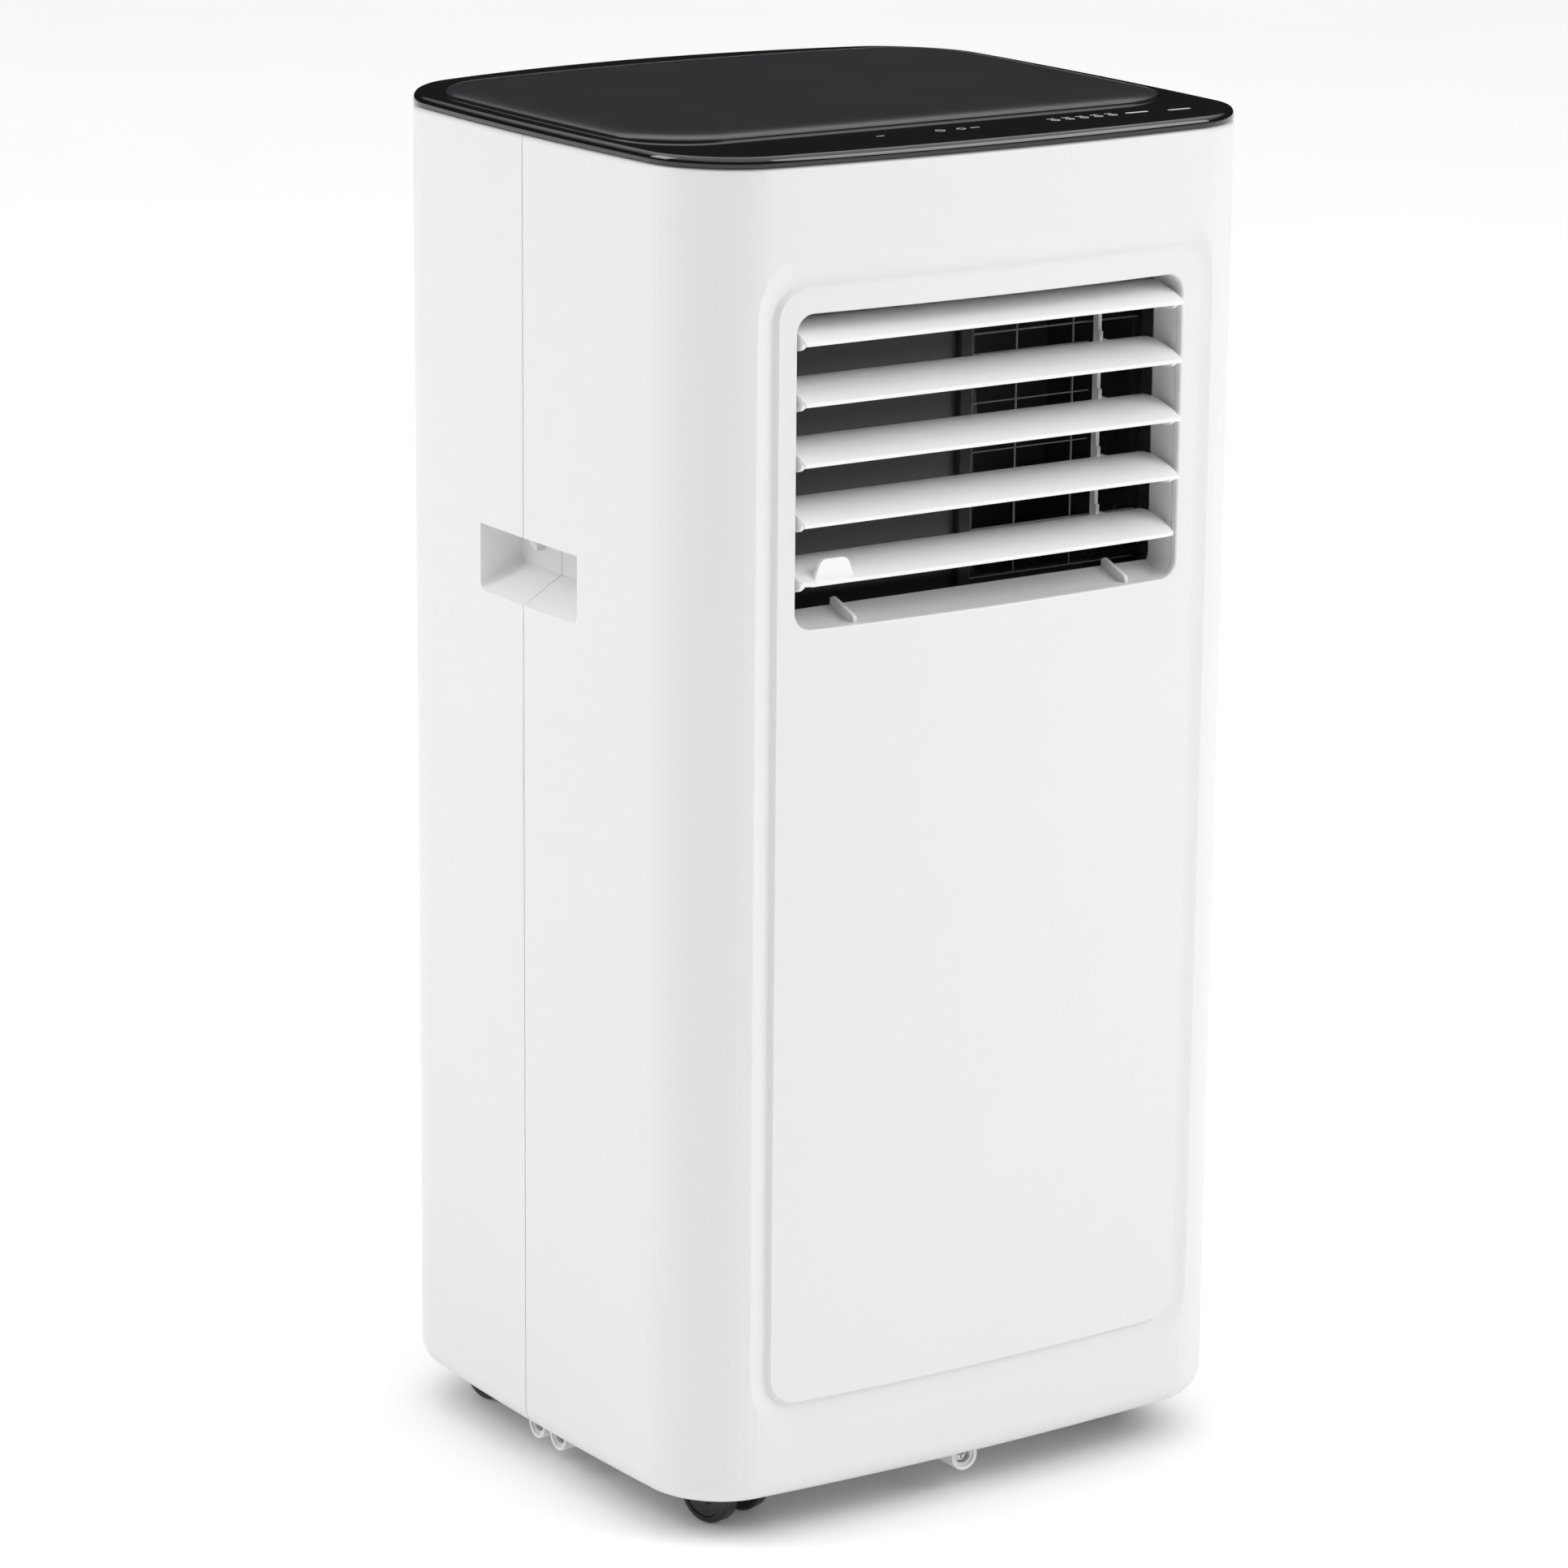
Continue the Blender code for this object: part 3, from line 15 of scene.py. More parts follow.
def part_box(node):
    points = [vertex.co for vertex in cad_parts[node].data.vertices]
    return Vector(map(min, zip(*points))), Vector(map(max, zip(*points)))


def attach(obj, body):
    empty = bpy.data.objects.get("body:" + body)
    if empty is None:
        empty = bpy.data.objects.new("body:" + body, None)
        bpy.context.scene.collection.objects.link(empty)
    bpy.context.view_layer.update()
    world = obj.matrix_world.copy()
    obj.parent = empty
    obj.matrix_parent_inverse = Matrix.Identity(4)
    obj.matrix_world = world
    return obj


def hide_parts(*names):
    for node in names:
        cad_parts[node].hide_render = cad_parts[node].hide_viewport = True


bl_info = {
    "name": "Portable Air Conditioner",
    "version": (1, 0, 0),
    "blender": (4, 5, 0),
    "location": "3D View > Sidebar > Air Conditioner",
    "description": "Builds the visible pieces, finishes and studio of a portable air conditioner",
    "category": "Add Mesh",
}

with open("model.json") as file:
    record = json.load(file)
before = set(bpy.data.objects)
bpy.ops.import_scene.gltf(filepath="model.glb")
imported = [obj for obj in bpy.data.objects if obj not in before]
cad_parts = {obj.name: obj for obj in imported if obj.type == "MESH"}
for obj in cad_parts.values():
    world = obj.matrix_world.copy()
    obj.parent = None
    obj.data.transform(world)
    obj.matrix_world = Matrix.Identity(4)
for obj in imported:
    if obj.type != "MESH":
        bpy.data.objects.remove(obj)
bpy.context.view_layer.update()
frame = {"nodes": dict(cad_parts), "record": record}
X, Y, Z = Vector((1, 0, 0)), Vector((0, 1, 0)), Vector((0, 0, 1))


def corners(node):
    """The lowest and highest corner of a node."""
    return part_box(node)


def joint(name):
    """A joint of the record, with its place and axis."""
    return next(j for j in frame["record"]["behaviour"]["joints"] if j["name"] == name)


FRONT_LOW, FRONT_HIGH = corners("front_shell")
REAR_LOW, REAR_HIGH = corners("rear_shell")
BEZEL_LOW, BEZEL_HIGH = corners("top_bezel")
PLATE_LOW, PLATE_HIGH = corners("top_plate")
BLADE_LOW, BLADE_HIGH = corners("louver_1")
THROAT_BACK = corners("outlet_frame")[1].y
SEAM = (FRONT_HIGH.y + REAR_LOW.y) / 2
SEAM_GAP = 0.0001  # each shell stands this far back from the seam
LOUVERS = 5
PIN_RISE = 0.003  # height of a louver's tie pin over its pivot
AXLE_REACH = 0.016  # from a caster's middle to a wheel's outer face
WELD = 1e-6  # points closer than this are one
BEND = 0.008  # longest straight stretch of an outline that is bowed
OVER = 0.0008  # a cutter starts this far outside the surface
SKIM = 0.00004  # least depth of the groove's cutter below the surface
GROOVE_STEP = 0.0022  # width of the groove's inner wall
PANEL_LOW, PANEL_SIDE, PANEL_TOP, PANEL_CORNER = 0.072, 0.0095, 0.011, 0.031
GRIP_TOP, GRIP_WALL = 0.4765, 0.0024
LUG_RADIUS, LUG_REACH, LUG_OFFSET = 0.0075, 0.016, 0.010
GRILLE_HALF = 0.112
UPPER_GRILLE, LOWER_GRILLE = (0.413, 0.633), (0.083, 0.226)
BACK_NEAR, BACK_FAR = 0.10, 0.20  # a cutter through the back reaches from here to here


# ---------------------------------------------------------------- settings


def length(name, default, description):
    return FloatProperty(
        name=name, description=description, default=default, unit="LENGTH", precision=4
    )


def angle(name, degrees, description):
    return FloatProperty(
        name=name, description=description, default=math.radians(degrees), subtype="ANGLE"
    )


def colour(name, default, description):
    return FloatVectorProperty(
        name=name, description=description, default=default, size=3, subtype="COLOR", min=0, max=1
    )


class AirconBody(bpy.types.PropertyGroup):
    """Sizes of the two shells"""

    side_bow: length("Side bow", 0.0056, "How far each side swells past its corners")
    front_bow: length("Front bow", 0.0098, "How far the front swells past its corners")
    back_bow: length("Back bow", 0.0298, "How far the back swells past its corners")
    corner: length("Corner radius", 0.039, "Radius of the four upright corners")
    foot: length("Foot radius", 0.0126, "Radius of the lower edge")
    floor_gap: length("Floor gap", 0.021, "Height of the shells above the floor")
    wall: length("Wall", 0.0032, "Thickness of the shells")
    groove_depth: length("Groove depth", 0.0026, "Depth of the groove round the front panel")
    groove_width: length("Groove width", 0.0165, "Width of the groove round the front panel")


class AirconTop(bpy.types.PropertyGroup):
    """Sizes of the top"""

    slope: length("Rim slope", 0.0026, "Width of the bezel's rounded rim")
    shoulder: length("Plate shoulder", 0.014, "Width of the plate's soft shoulder")
    front_strip: length("Front strip", 0.050, "Width of the control strip ahead of the plate")
    marks: IntProperty(
        name="Marks", description="Icons in the control cluster", default=5, min=1, max=9
    )


class AirconOutlet(bpy.types.PropertyGroup):
    """Sizes of the outlet and the louvers"""

    width: length("Width", 0.222, "Width of the outlet")
    low: length("Low edge", 0.453, "Height of the outlet's lower edge")
    high: length("High edge", 0.602, "Height of the outlet's upper edge")
    radius: length("Corner radius", 0.009, "Radius of the outlet's corners")
    chord: length("Louver chord", 0.031, "Depth of a louver")
    rise: length("Louver rise", 0.007, "Height of a louver's back edge over its front edge")
    camber: length("Louver camber", 0.0017, "Arch of a louver")
    thickness: length("Louver thickness", 0.0024, "Thickness of a louver")
    wire: length("Guard wire", 0.0010, "Thickness of the guard's wires")


class AirconCaster(bpy.types.PropertyGroup):
    """Sizes of the casters"""

    tread: length("Wheel width", 0.009, "Width of each wheel of a pair")
    rounding: length("Wheel rounding", 0.0022, "Radius of a wheel's edges")


class AirconFinish(bpy.types.PropertyGroup):
    """Colours of the finishes"""

    white: colour("White", (0.80, 0.80, 0.795), "Shells, louvers and grilles")
    smoked: colour("Smoked gloss", (0.006, 0.006, 0.0065), "Top bezel")
    charcoal: colour("Charcoal", (0.022, 0.022, 0.024), "Top plate")
    dark: colour("Dark grey", (0.018, 0.018, 0.019), "Blower housings")
    nylon: colour("Black nylon", (0.012, 0.012, 0.012), "Casters and gland")
    print_ink: colour("Print", (0.62, 0.63, 0.64), "Control marks")


class AirconStage(bpy.types.PropertyGroup):
    """Camera"""

    lens: FloatProperty(name="Lens", description="Focal length", default=133.24, unit="CAMERA")
    roll: angle("Roll", 0.5, "Camera's turn about its own line of sight")
    azimuth: angle("Azimuth", -33.94, "Camera's turn round the object")
    elevation: angle("Elevation", 14.8, "Camera's height angle")
    distance: length("Distance", 2.8934, "From the camera to its target")


GROUPS = {
    "body": AirconBody,
    "top": AirconTop,
    "outlet": AirconOutlet,
    "caster": AirconCaster,
    "finish": AirconFinish,
    "stage": AirconStage,
}


def settings(group):
    """The property group of one part of the object."""
    return getattr(bpy.context.scene, f"aircon_{group}")


# ---------------------------------------------------------------- material making


class Value:
    """A socket that carries a number or a colour, extended with Python's operators."""

    def __init__(self, finish, socket):
        self.finish, self.socket = finish, socket

    def maths(self, operation, *values):
        node = self.finish.node("ShaderNodeMath", {"operation": operation}, dict(enumerate(values)))
        return Value(self.finish, node.outputs[0])

    def __add__(self, other):
        return self.maths("ADD", self, other)

    def __sub__(self, other):
        return self.maths("SUBTRACT", self, other)

    def __rsub__(self, other):
        return self.maths("SUBTRACT", other, self)

    def __mul__(self, other):
        return self.maths("MULTIPLY", self, other)

    def __gt__(self, other):
        return self.maths("GREATER_THAN", self, other)

    def __abs__(self):
        return self.maths("ABSOLUTE", self)

    __radd__, __rmul__ = __add__, __mul__


class Finish:
    """A material in the making, on a Principled shader."""

    def __init__(self, name, colour, roughness, **uniform):
        self.material = bpy.data.materials.new(name)
        self.material.use_nodes = True
        self.tree = self.material.node_tree
        self.shader = self.tree.nodes["Principled BSDF"]
        self.colour = colour
        self.feed("Base Color", (*colour, 1))
        self.feed("Roughness", roughness)
        for socket, value in uniform.items():
            self.feed(socket.replace("_", " "), value)

    def feed(self, socket, value):
        self.connect(self.shader.inputs[socket], value)

    def connect(self, socket, value):
        if isinstance(value, Value):
            self.tree.links.new(value.socket, socket)
        else:
            socket.default_value = value

    def node(self, kind, options=None, values=None):
        """Adds a node: its options first, such as an operation, then its sockets."""
        made = self.tree.nodes.new(kind)
        for name, option in (options or {}).items():
            setattr(made, name, option)
        for name, value in (values or {}).items():
            self.connect(made.inputs[name], value)
        return made

    def value(self, *node, output=0):
        return Value(self, self.node(*node).outputs[output])

    def place(self, stretch=(1, 1, 1)):
        """Object coordinates, stretched along the axes."""
        where = self.value("ShaderNodeTexCoord", output="Object")
        return self.value("ShaderNodeMapping", {}, {"Vector": where, "Scale": stretch})

    def noise(self, per_metre, detail=2.0, stretch=(1, 1, 1)):
        sockets = {"Vector": self.place(stretch), "Scale": per_metre, "Detail": detail}
        return self.value("ShaderNodeTexNoise", {}, sockets)

    def bands(self, per_metre, direction):
        sockets = {"Vector": self.place(), "Scale": per_metre}
        return self.value("ShaderNodeTexWave", {"bands_direction": direction}, sockets)

    def tint(self, mask, other):
        """Mixes the base colour towards another by a mask."""
        sockets = {"Factor": mask, 6: (*self.colour, 1), 7: (*other, 1)}
        mixed = self.value("ShaderNodeMix", {"data_type": "RGBA"}, sockets, output=2)
        self.feed("Base Color", mixed)
        return self

    def relief(self, height, depth, strength=1.0):
        sockets = {"Height": height, "Distance": depth, "Strength": strength}
        self.feed("Normal", self.value("ShaderNodeBump", {}, sockets))
        return self


def moulded(name, colour, roughness, grain=0.00002, spread=0.05, **uniform):
    """Moulded plastic: a faint pebble from the tool, and a slow drift in gloss and tone."""
    finish = Finish(name, colour, roughness, **uniform)
    slow, fine = finish.noise(14, 3), finish.noise(1500, 1)
    finish.feed("Roughness", roughness - spread / 2 + spread * slow)
    finish.tint(0.25 * slow, tuple(c * 0.965 for c in colour))
    return finish.relief(fine, grain, 0.35).material


def make_finishes():
    """Every finish of the object, by the record's slot name where there is one."""
    tones = settings("finish")
    made = {
        "white_abs": moulded("white_abs", tuple(tones.white), 0.36, Specular_IOR_Level=0.45),
        # The louvers take a brighter copy of the shells' white: painted light, lifting blades that
        # the lamps leave dim.
        "louver_white_painted_light": moulded("louver_white_painted_light", (0.90, 0.90, 0.895), 0.36, Specular_IOR_Level=0.45),
        "light_grey_plastic": moulded("light_grey_plastic", (0.55, 0.55, 0.54), 0.42),
        "dark_grey_plastic": moulded("dark_grey_plastic", tuple(tones.dark), 0.45, 0.00004),
        "black_nylon": moulded("black_nylon", tuple(tones.nylon), 0.34, 0.00003, 0.12),
        "black_rubber": moulded("black_rubber", (0.02, 0.02, 0.02), 0.75, 0.00008, 0.1),
        # A darker grey than the guard's own light grey: painted shade, for the shadow inside the
        # outlet.
        "wire_grey_painted_shade": moulded("wire_grey_painted_shade", (0.17, 0.17, 0.17), 0.5),
        "print_ink": moulded("print_ink", tuple(tones.print_ink), 0.4),
    }
    smoked = Finish("smoked_gloss", tones.smoked, 0.05, Coat_Weight=0.6, Coat_Roughness=0.03)
    smoked.feed("Roughness", 0.04 + 0.05 * smoked.noise(30, 4))
    smoked.tint(0.6 * smoked.noise(6, 2), (0.009, 0.009, 0.010))
    made["smoked_gloss"] = smoked.relief(smoked.noise(22, 1), 0.00002, 0.3).material

    plate = Finish("charcoal_plate", tones.charcoal, 0.24, Coat_Weight=0.25, Coat_Roughness=0.12)
    plate.feed("Roughness", 0.20 + 0.08 * plate.noise(18, 4))
    plate.tint(plate.noise(5, 2), (0.027, 0.027, 0.030))
    made["charcoal_plate"] = plate.relief(plate.noise(2200, 1), 0.00001, 0.3).material

    mesh = Finish("filter_mesh", (0.10, 0.11, 0.13), 0.7)
    weave = mesh.bands(620, "X") * mesh.bands(620, "Z")
    mesh.tint(weave, (0.02, 0.02, 0.025))
    made["filter_mesh"] = mesh.relief(weave, 0.0003, 0.8).material

    zinc = Finish("galvanised_steel", (0.50, 0.51, 0.52), 0.4, Metallic=0.9)
    spangle = zinc.value("ShaderNodeTexVoronoi", {}, {"Vector": zinc.place(), "Scale": 130.0})
    zinc.feed("Roughness", 0.30 + 0.22 * spangle)
    made["galvanised_steel"] = zinc.tint(spangle, (0.66, 0.67, 0.69)).material

    enamel = Finish("black_enamel", (0.015, 0.015, 0.017), 0.3, Coat_Weight=0.3)
    enamel.feed("Roughness", 0.25 + 0.12 * enamel.noise(40, 3))
    enamel.tint(enamel.noise(25, 3), (0.025, 0.025, 0.027))
    made["black_enamel"] = enamel.relief(enamel.noise(300, 2), 0.00006, 0.4).material

    fins = Finish("aluminium_fin", (0.72, 0.73, 0.75), 0.35, Metallic=1.0)
    lines = fins.bands(180, "X")
    fins.feed("Roughness", 0.3 + 0.15 * fins.noise(60, 2))
    fins.tint(lines, (0.32, 0.33, 0.35))
    made["aluminium_fin"] = fins.relief(lines, 0.0004, 0.8).material

    copper = Finish("copper_tube", (0.70, 0.34, 0.20), 0.3, Metallic=1.0)
    tarnish = copper.noise(55, 4)
    copper.feed("Roughness", 0.2 + 0.25 * tarnish)
    made["copper_tube"] = copper.tint(tarnish, (0.38, 0.19, 0.12)).material

    board = Finish("circuit_board", (0.02, 0.13, 0.06), 0.45)
    traces = abs(board.bands(90, "X") - board.bands(70, "Y")) > 0.72
    made["circuit_board"] = board.tint(traces, (0.05, 0.24, 0.11)).relief(traces, 0.00005).material

    steel = Finish("screw_steel", (0.58, 0.58, 0.59), 0.28, Metallic=1.0)
    brushed = steel.noise(900, 2, (1, 0.05, 1))
    steel.feed("Roughness", 0.2 + 0.2 * brushed)
    made["screw_steel"] = steel.tint(brushed, (0.42, 0.42, 0.43)).material
    return made


FINISHES = {}


# ---------------------------------------------------------------- mesh making


def everything(shape):
    return [*shape.verts, *shape.edges, *shape.faces]


def slice_across(shape, axis, places):
    """Cuts edges into every face that the level planes cross."""
    for place in places:
        bmesh.ops.bisect_plane(shape, geom=everything(shape), plane_co=axis * place, plane_no=axis)


def spread(low, high, step):
    """Even places between two limits, about a step apart, without the limits."""
    count = max(1, math.ceil((high - low) / step))
    return [low + (high - low) * i / count for i in range(1, count)]


def block(low, high):
    low, high = Vector(low), Vector(high)
    shape = bmesh.new()
    place = Matrix.Translation((low + high) / 2) @ Matrix.Diagonal((*(high - low), 1))
    bmesh.ops.create_cube(shape, size=1, matrix=place)
    return shape


def bevel(shape, edges, radius, segments, affect="EDGES"):
    bmesh.ops.bevel(
        shape,
        geom=edges,
        offset=radius,
        segments=segments,
        profile=0.5,
        affect=affect,
        material=-1,
    )


def along(edge, axis):
    way = (edge.verts[1].co - edge.verts[0].co).normalized()
    return abs(way.dot(axis)) > 0.999


def rounded_block(low, high, axis, radius, segments=5):
    """A block whose edges along one axis are rounded."""
    shape = block(low, high)
    bevel(shape, [e for e in shape.edges if along(e, axis)], radius, segments)
    return shape


def rod(centre, axis, radius, low, high, sides=32, far_radius=None):
    """A round bar along an axis, through centre, from low to high along it."""
    turn = axis.to_track_quat("Z", "Y").to_matrix().to_4x4()
    middle = Vector(centre)
    middle += axis * ((low + high) / 2 - middle.dot(axis))
    shape = bmesh.new()
    bmesh.ops.create_cone(
        shape,
        cap_ends=True,
        segments=sides,
        radius1=radius,
        radius2=radius if far_radius is None else far_radius,
        depth=high - low,
        matrix=Matrix.Translation(middle) @ turn,
    )
    return shape


def ring(centre, axis, profile, sides=48, closed=True):
    """A turned body: a profile of (radius, place along the axis), spun round the axis."""
    turn = axis.to_track_quat("Z", "Y").to_matrix().to_4x4()
    shape = bmesh.new()
    verts = [shape.verts.new((r, 0, h)) for r, h in profile]
    ends = verts[1:] + verts[:1] if closed else verts[1:]
    edges = [shape.edges.new(pair) for pair in zip(verts, ends)]
    bmesh.ops.spin(
        shape, geom=edges, axis=Z, cent=(0, 0, 0), angle=math.tau, steps=sides, use_merge=True
    )
    bmesh.ops.remove_doubles(shape, verts=shape.verts, dist=WELD)
    bmesh.ops.recalc_face_normals(shape, faces=shape.faces)
    flat = Vector(centre)
    flat -= axis * flat.dot(axis)
    shape.transform(Matrix.Translation(flat) @ turn)
    return shape


def pushed(shape, way):
    """Pushes the shape's one face along a vector into a block."""
    made = bmesh.ops.extrude_face_region(shape, geom=shape.faces[:])["geom"]
    moved = [item for item in made if isinstance(item, bmesh.types.BMVert)]
    bmesh.ops.translate(shape, verts=moved, vec=way)
    bmesh.ops.recalc_face_normals(shape, faces=shape.faces)
    return shape


def prism(points, axis, low, high):
    """A flat outline pushed along an axis. Its two numbers are the other axes, in X, Y, Z order."""
    first, second = [a for a in (X, Y, Z) if a is not axis]
    shape = bmesh.new()
    shape.faces.new([shape.verts.new(first * p + second * q + axis * low) for p, q in points])
    return pushed(shape, axis * (high - low))


def soften(shape, radius, segments=2, least=40):
    """Rounds the edges that turn by more than the least angle, in degrees."""
    bmesh.ops.recalc_face_normals(shape, faces=shape.faces)
    turned = [e for e in shape.edges if e.calc_face_angle(0) > math.radians(least)]
    bevel(shape, turned, radius, segments)
    return shape


def merged(*shapes):
    """Several shapes in one, left as they are."""
    whole = bmesh.new()
    for shape in shapes:
        bmesh.ops.recalc_face_normals(shape, faces=shape.faces)
        scratch = bpy.data.meshes.new("scratch")
        shape.to_mesh(scratch)
        shape.free()
        whole.from_mesh(scratch)
        bpy.data.meshes.remove(scratch)
    return whole


def loose(shape, name):
    """A passing object for a Boolean."""
    mesh = bpy.data.meshes.new(name)
    bmesh.ops.recalc_face_normals(shape, faces=shape.faces)
    shape.to_mesh(mesh)
    shape.free()
    obj = bpy.data.objects.new(name, mesh)
    bpy.context.scene.collection.objects.link(obj)
    return obj


def carved(shape, *steps):
    """The shape after exact Booleans. Each step is an operation and the shape it works with."""
    body = loose(shape, "blank")
    tools = []
    for operation, tool in steps:
        tools.append(loose(tool, "tool"))
        modifier = body.modifiers.new(operation, "BOOLEAN")
        modifier.operation, modifier.object, modifier.solver = operation, tools[-1], "EXACT"
    bpy.context.view_layer.update()
    graph = bpy.context.evaluated_depsgraph_get()
    mesh = bpy.data.meshes.new_from_object(body.evaluated_get(graph))
    result = bmesh.new()
    result.from_mesh(mesh)
    for obj in (body, *tools):
        bpy.data.meshes.remove(obj.data)
    bpy.data.meshes.remove(mesh)
    bmesh.ops.remove_doubles(result, verts=result.verts, dist=2 * WELD)
    bmesh.ops.dissolve_degenerate(result, edges=result.edges, dist=WELD)
    return result


def joined(first, *others):
    return carved(first, *[("UNION", shape) for shape in others])


def piece(name, shape, finish, body, *replaced, slot=None, sharp=32):
    """Makes a finished object that rides on a body and stands for the nodes named."""
    mesh = bpy.data.meshes.new(name)
    shape.to_mesh(mesh)
    shape.free()
    mesh.materials.append(FINISHES[finish])
    mesh.shade_smooth()
    mesh.set_sharp_from_angle(angle=math.radians(sharp))
    obj = bpy.data.objects.new(name, mesh)
    bpy.context.scene.collection.objects.link(obj)
    normals = obj.modifiers.new("even_shading", "WEIGHTED_NORMAL")
    normals.keep_sharp = True
    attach(obj, body)
    if replaced:
        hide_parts(*replaced)
    return obj


# ---------------------------------------------------------------- body outline


def half_width():
    return FRONT_HIGH.x - settings("body").side_bow


def front_line():
    return FRONT_LOW.y + settings("body").front_bow


def back_line():
    return REAR_HIGH.y - settings("body").back_bow


def front_y(x):
    """The bowed front surface."""
    return front_line() - settings("body").front_bow * (1 - (x / half_width()) ** 2)


def back_y(x):
    """The bowed back surface."""
    return back_line() + settings("body").back_bow * (1 - (x / half_width()) ** 2)


def bow(shape):
    """Swells a squared plan into the body's soft outline."""
    sizes = settings("body")
    wide, middle = half_width(), (front_line() + back_line()) / 2
    deep = back_line() - middle
    for vert in shape.verts:
        x, y = vert.co.x, vert.co.y
        side = min(abs(x) / wide, 1) ** 4
        end = min(abs(y - middle) / deep, 1) ** 4
        across, flow = max(0, 1 - (x / wide) ** 2), max(0, 1 - ((y - middle) / deep) ** 2)
        swell = sizes.back_bow if y > middle else -sizes.front_bow
        vert.co.x += math.copysign(sizes.side_bow * flow * side, x)
        vert.co.y += swell * across * end
    return shape


def plan_face(height, sides=0.0, front=None, back=None, radius=None):
    """A level face with the body's outline, moved in by the insets, before it is bowed."""
    front = sides if front is None else front
    back = sides if back is None else back
    radius = max(settings("body").corner - sides, 0.003) if radius is None else radius
    low, high = front_line() + front, back_line() - back
    stretch = Matrix.Diagonal((half_width() - sides, (high - low) / 2, 1, 1))
    place = Matrix.Translation((0, (low + high) / 2, height)) @ stretch
    shape = bmesh.new()
    bmesh.ops.create_grid(shape, x_segments=1, y_segments=1, size=1, matrix=place)
    bevel(shape, list(shape.verts), radius, 14, "VERTICES")
    for axis in (X, Y):
        straight = [e for e in shape.edges if along(e, axis) and e.calc_length() > 0.02]
        if straight:
            cuts = math.ceil(straight[0].calc_length() / BEND) - 1
            bmesh.ops.subdivide_edges(shape, edges=straight, cuts=cuts)
    bmesh.ops.dissolve_faces(shape, faces=shape.faces[:])
    return shape


def rim(shape, height):
    """The edges that lie at one height."""
    return [e for e in shape.edges if all(abs(v.co.z - height) < WELD for v in e.verts)]


def body_block(inset, low, high, foot=0.0, shoulder=0.0):
    """The body's outline as a solid, with rounded lower and upper rims."""
    shape = pushed(plan_face(low, inset), Z * (high - low))
    if foot:
        bevel(shape, rim(shape, low), foot, 8)
    if shoulder:
        bevel(shape, rim(shape, high), shoulder, 4)
    slice_across(shape, Z, spread(low + foot, high - shoulder, 0.08))
    return bow(shape)


# ---------------------------------------------------------------- shells


def drawn(shape, face, profile):
    """Draws a face inwards and outwards along a profile of (inset, depth)."""
    last_inset, last_depth = profile[0]
    for inset, depth in profile[1:]:
        bmesh.ops.inset_region(
            shape,
            faces=[face],
            thickness=inset - last_inset,
            depth=depth - last_depth,
            use_even_offset=True,
        )
        last_inset, last_depth = inset, depth
    return shape


def front_tool(half, low, high, radius, profile):
    """A cutter that follows the bowed front. Its inner face steps in and down by the profile."""
    shape = rounded_block((-half, -0.02, low), (half, profile[0][1], high), Y, radius, 12)
    drawn(shape, max(shape.faces, key=lambda f: f.calc_center_median().y), profile)
    slice_across(shape, X, spread(-half, half, BEND))
    for vert in shape.verts:
        vert.co.y += front_y(vert.co.x)
    return shape


def eased(share):
    """A soft S-curve from 0 to 1."""
    return share * share * (3 - 2 * share)


def groove_profile():
    """Inset and depth across the groove: a long soft slope, a flat and a short step back up."""
    sizes = settings("body")
    slope = sizes.groove_width - GROOVE_STEP
    points = [(-0.0007, -OVER)]
    for i in range(1, 13):
        share = i / 12
        points.append((slope * share, max(sizes.groove_depth * eased(share), SKIM)))
    for i in range(1, 8):
        share = i / 8
        depth = max(sizes.groove_depth * (1 - eased(share)), SKIM)
        points.append((slope + GROOVE_STEP * share, depth))
    return [*points, (sizes.groove_width + 0.0004, -OVER)]


def mouth_profile(radius, depth):
    """Inset and depth for an opening with a softly rounded edge."""
    points = [(-radius - 0.0004, -OVER)]
    for i in range(1, 7):
        turn = math.radians(15 * i)
        points.append((radius * (math.sin(turn) - 1), radius * (1 - math.cos(turn)) + 0.00003))
    return [*points, (0.00002, depth)]


def panel_tool():
    """The groove's cutter, from the groove's outer edge inwards."""
    width, outlet, profile = settings("body").groove_width, settings("outlet"), groove_profile()
    start = profile[0][0]
    half = outlet.width / 2 + PANEL_SIDE + width - start
    low, high = PANEL_LOW - width + start, outlet.high + PANEL_TOP + width - start
    return front_tool(half, low, high, PANEL_CORNER, profile)


def outlet_tool():
    """The outlet's cutter, with a softly rounded mouth."""
    sizes, profile = settings("outlet"), mouth_profile(0.0011, 0.03)
    start = profile[0][0]
    low, high = sizes.low + start, sizes.high - start
    return front_tool(sizes.width / 2 - start, low, high, sizes.radius - start, profile)


def grip_boxes():
    """The finger recess on the +X side: x, front, back, low and high of its mouth and its back."""
    mouth = (FRONT_HIGH.x + 0.002, SEAM - 0.0485, SEAM + 0.0410, 0.442, GRIP_TOP)
    deep = (FRONT_HIGH.x - 0.022, SEAM - 0.0430, SEAM + 0.0370, 0.456, GRIP_TOP)
    return mouth, deep


def grip_shape(side, swell):
    """The finger recess with rounded lower edges, its walls moved out by swell."""
    mouth, deep = grip_boxes()
    shape = bmesh.new()
    bmesh.ops.create_cube(shape, size=2)
    for vert in shape.verts:
        outside = vert.co.x > 0
        x, front, back, low, high = mouth if outside else deep
        y = front - swell if vert.co.y < 0 else back + swell
        z = low - swell if vert.co.z < 0 else high + swell
        vert.co = (side * (x if outside else x - swell), y, z)
    bmesh.ops.recalc_face_normals(shape, faces=shape.faces)

    def slants_low(edge):
        one, two = (v.co for v in edge.verts)
        return abs(one.x - two.x) > 0.01 and max(one.z, two.z) < GRIP_TOP - 0.005

    bevel(shape, [e for e in shape.edges if slants_low(e)], 0.0034, 5)
    return shape


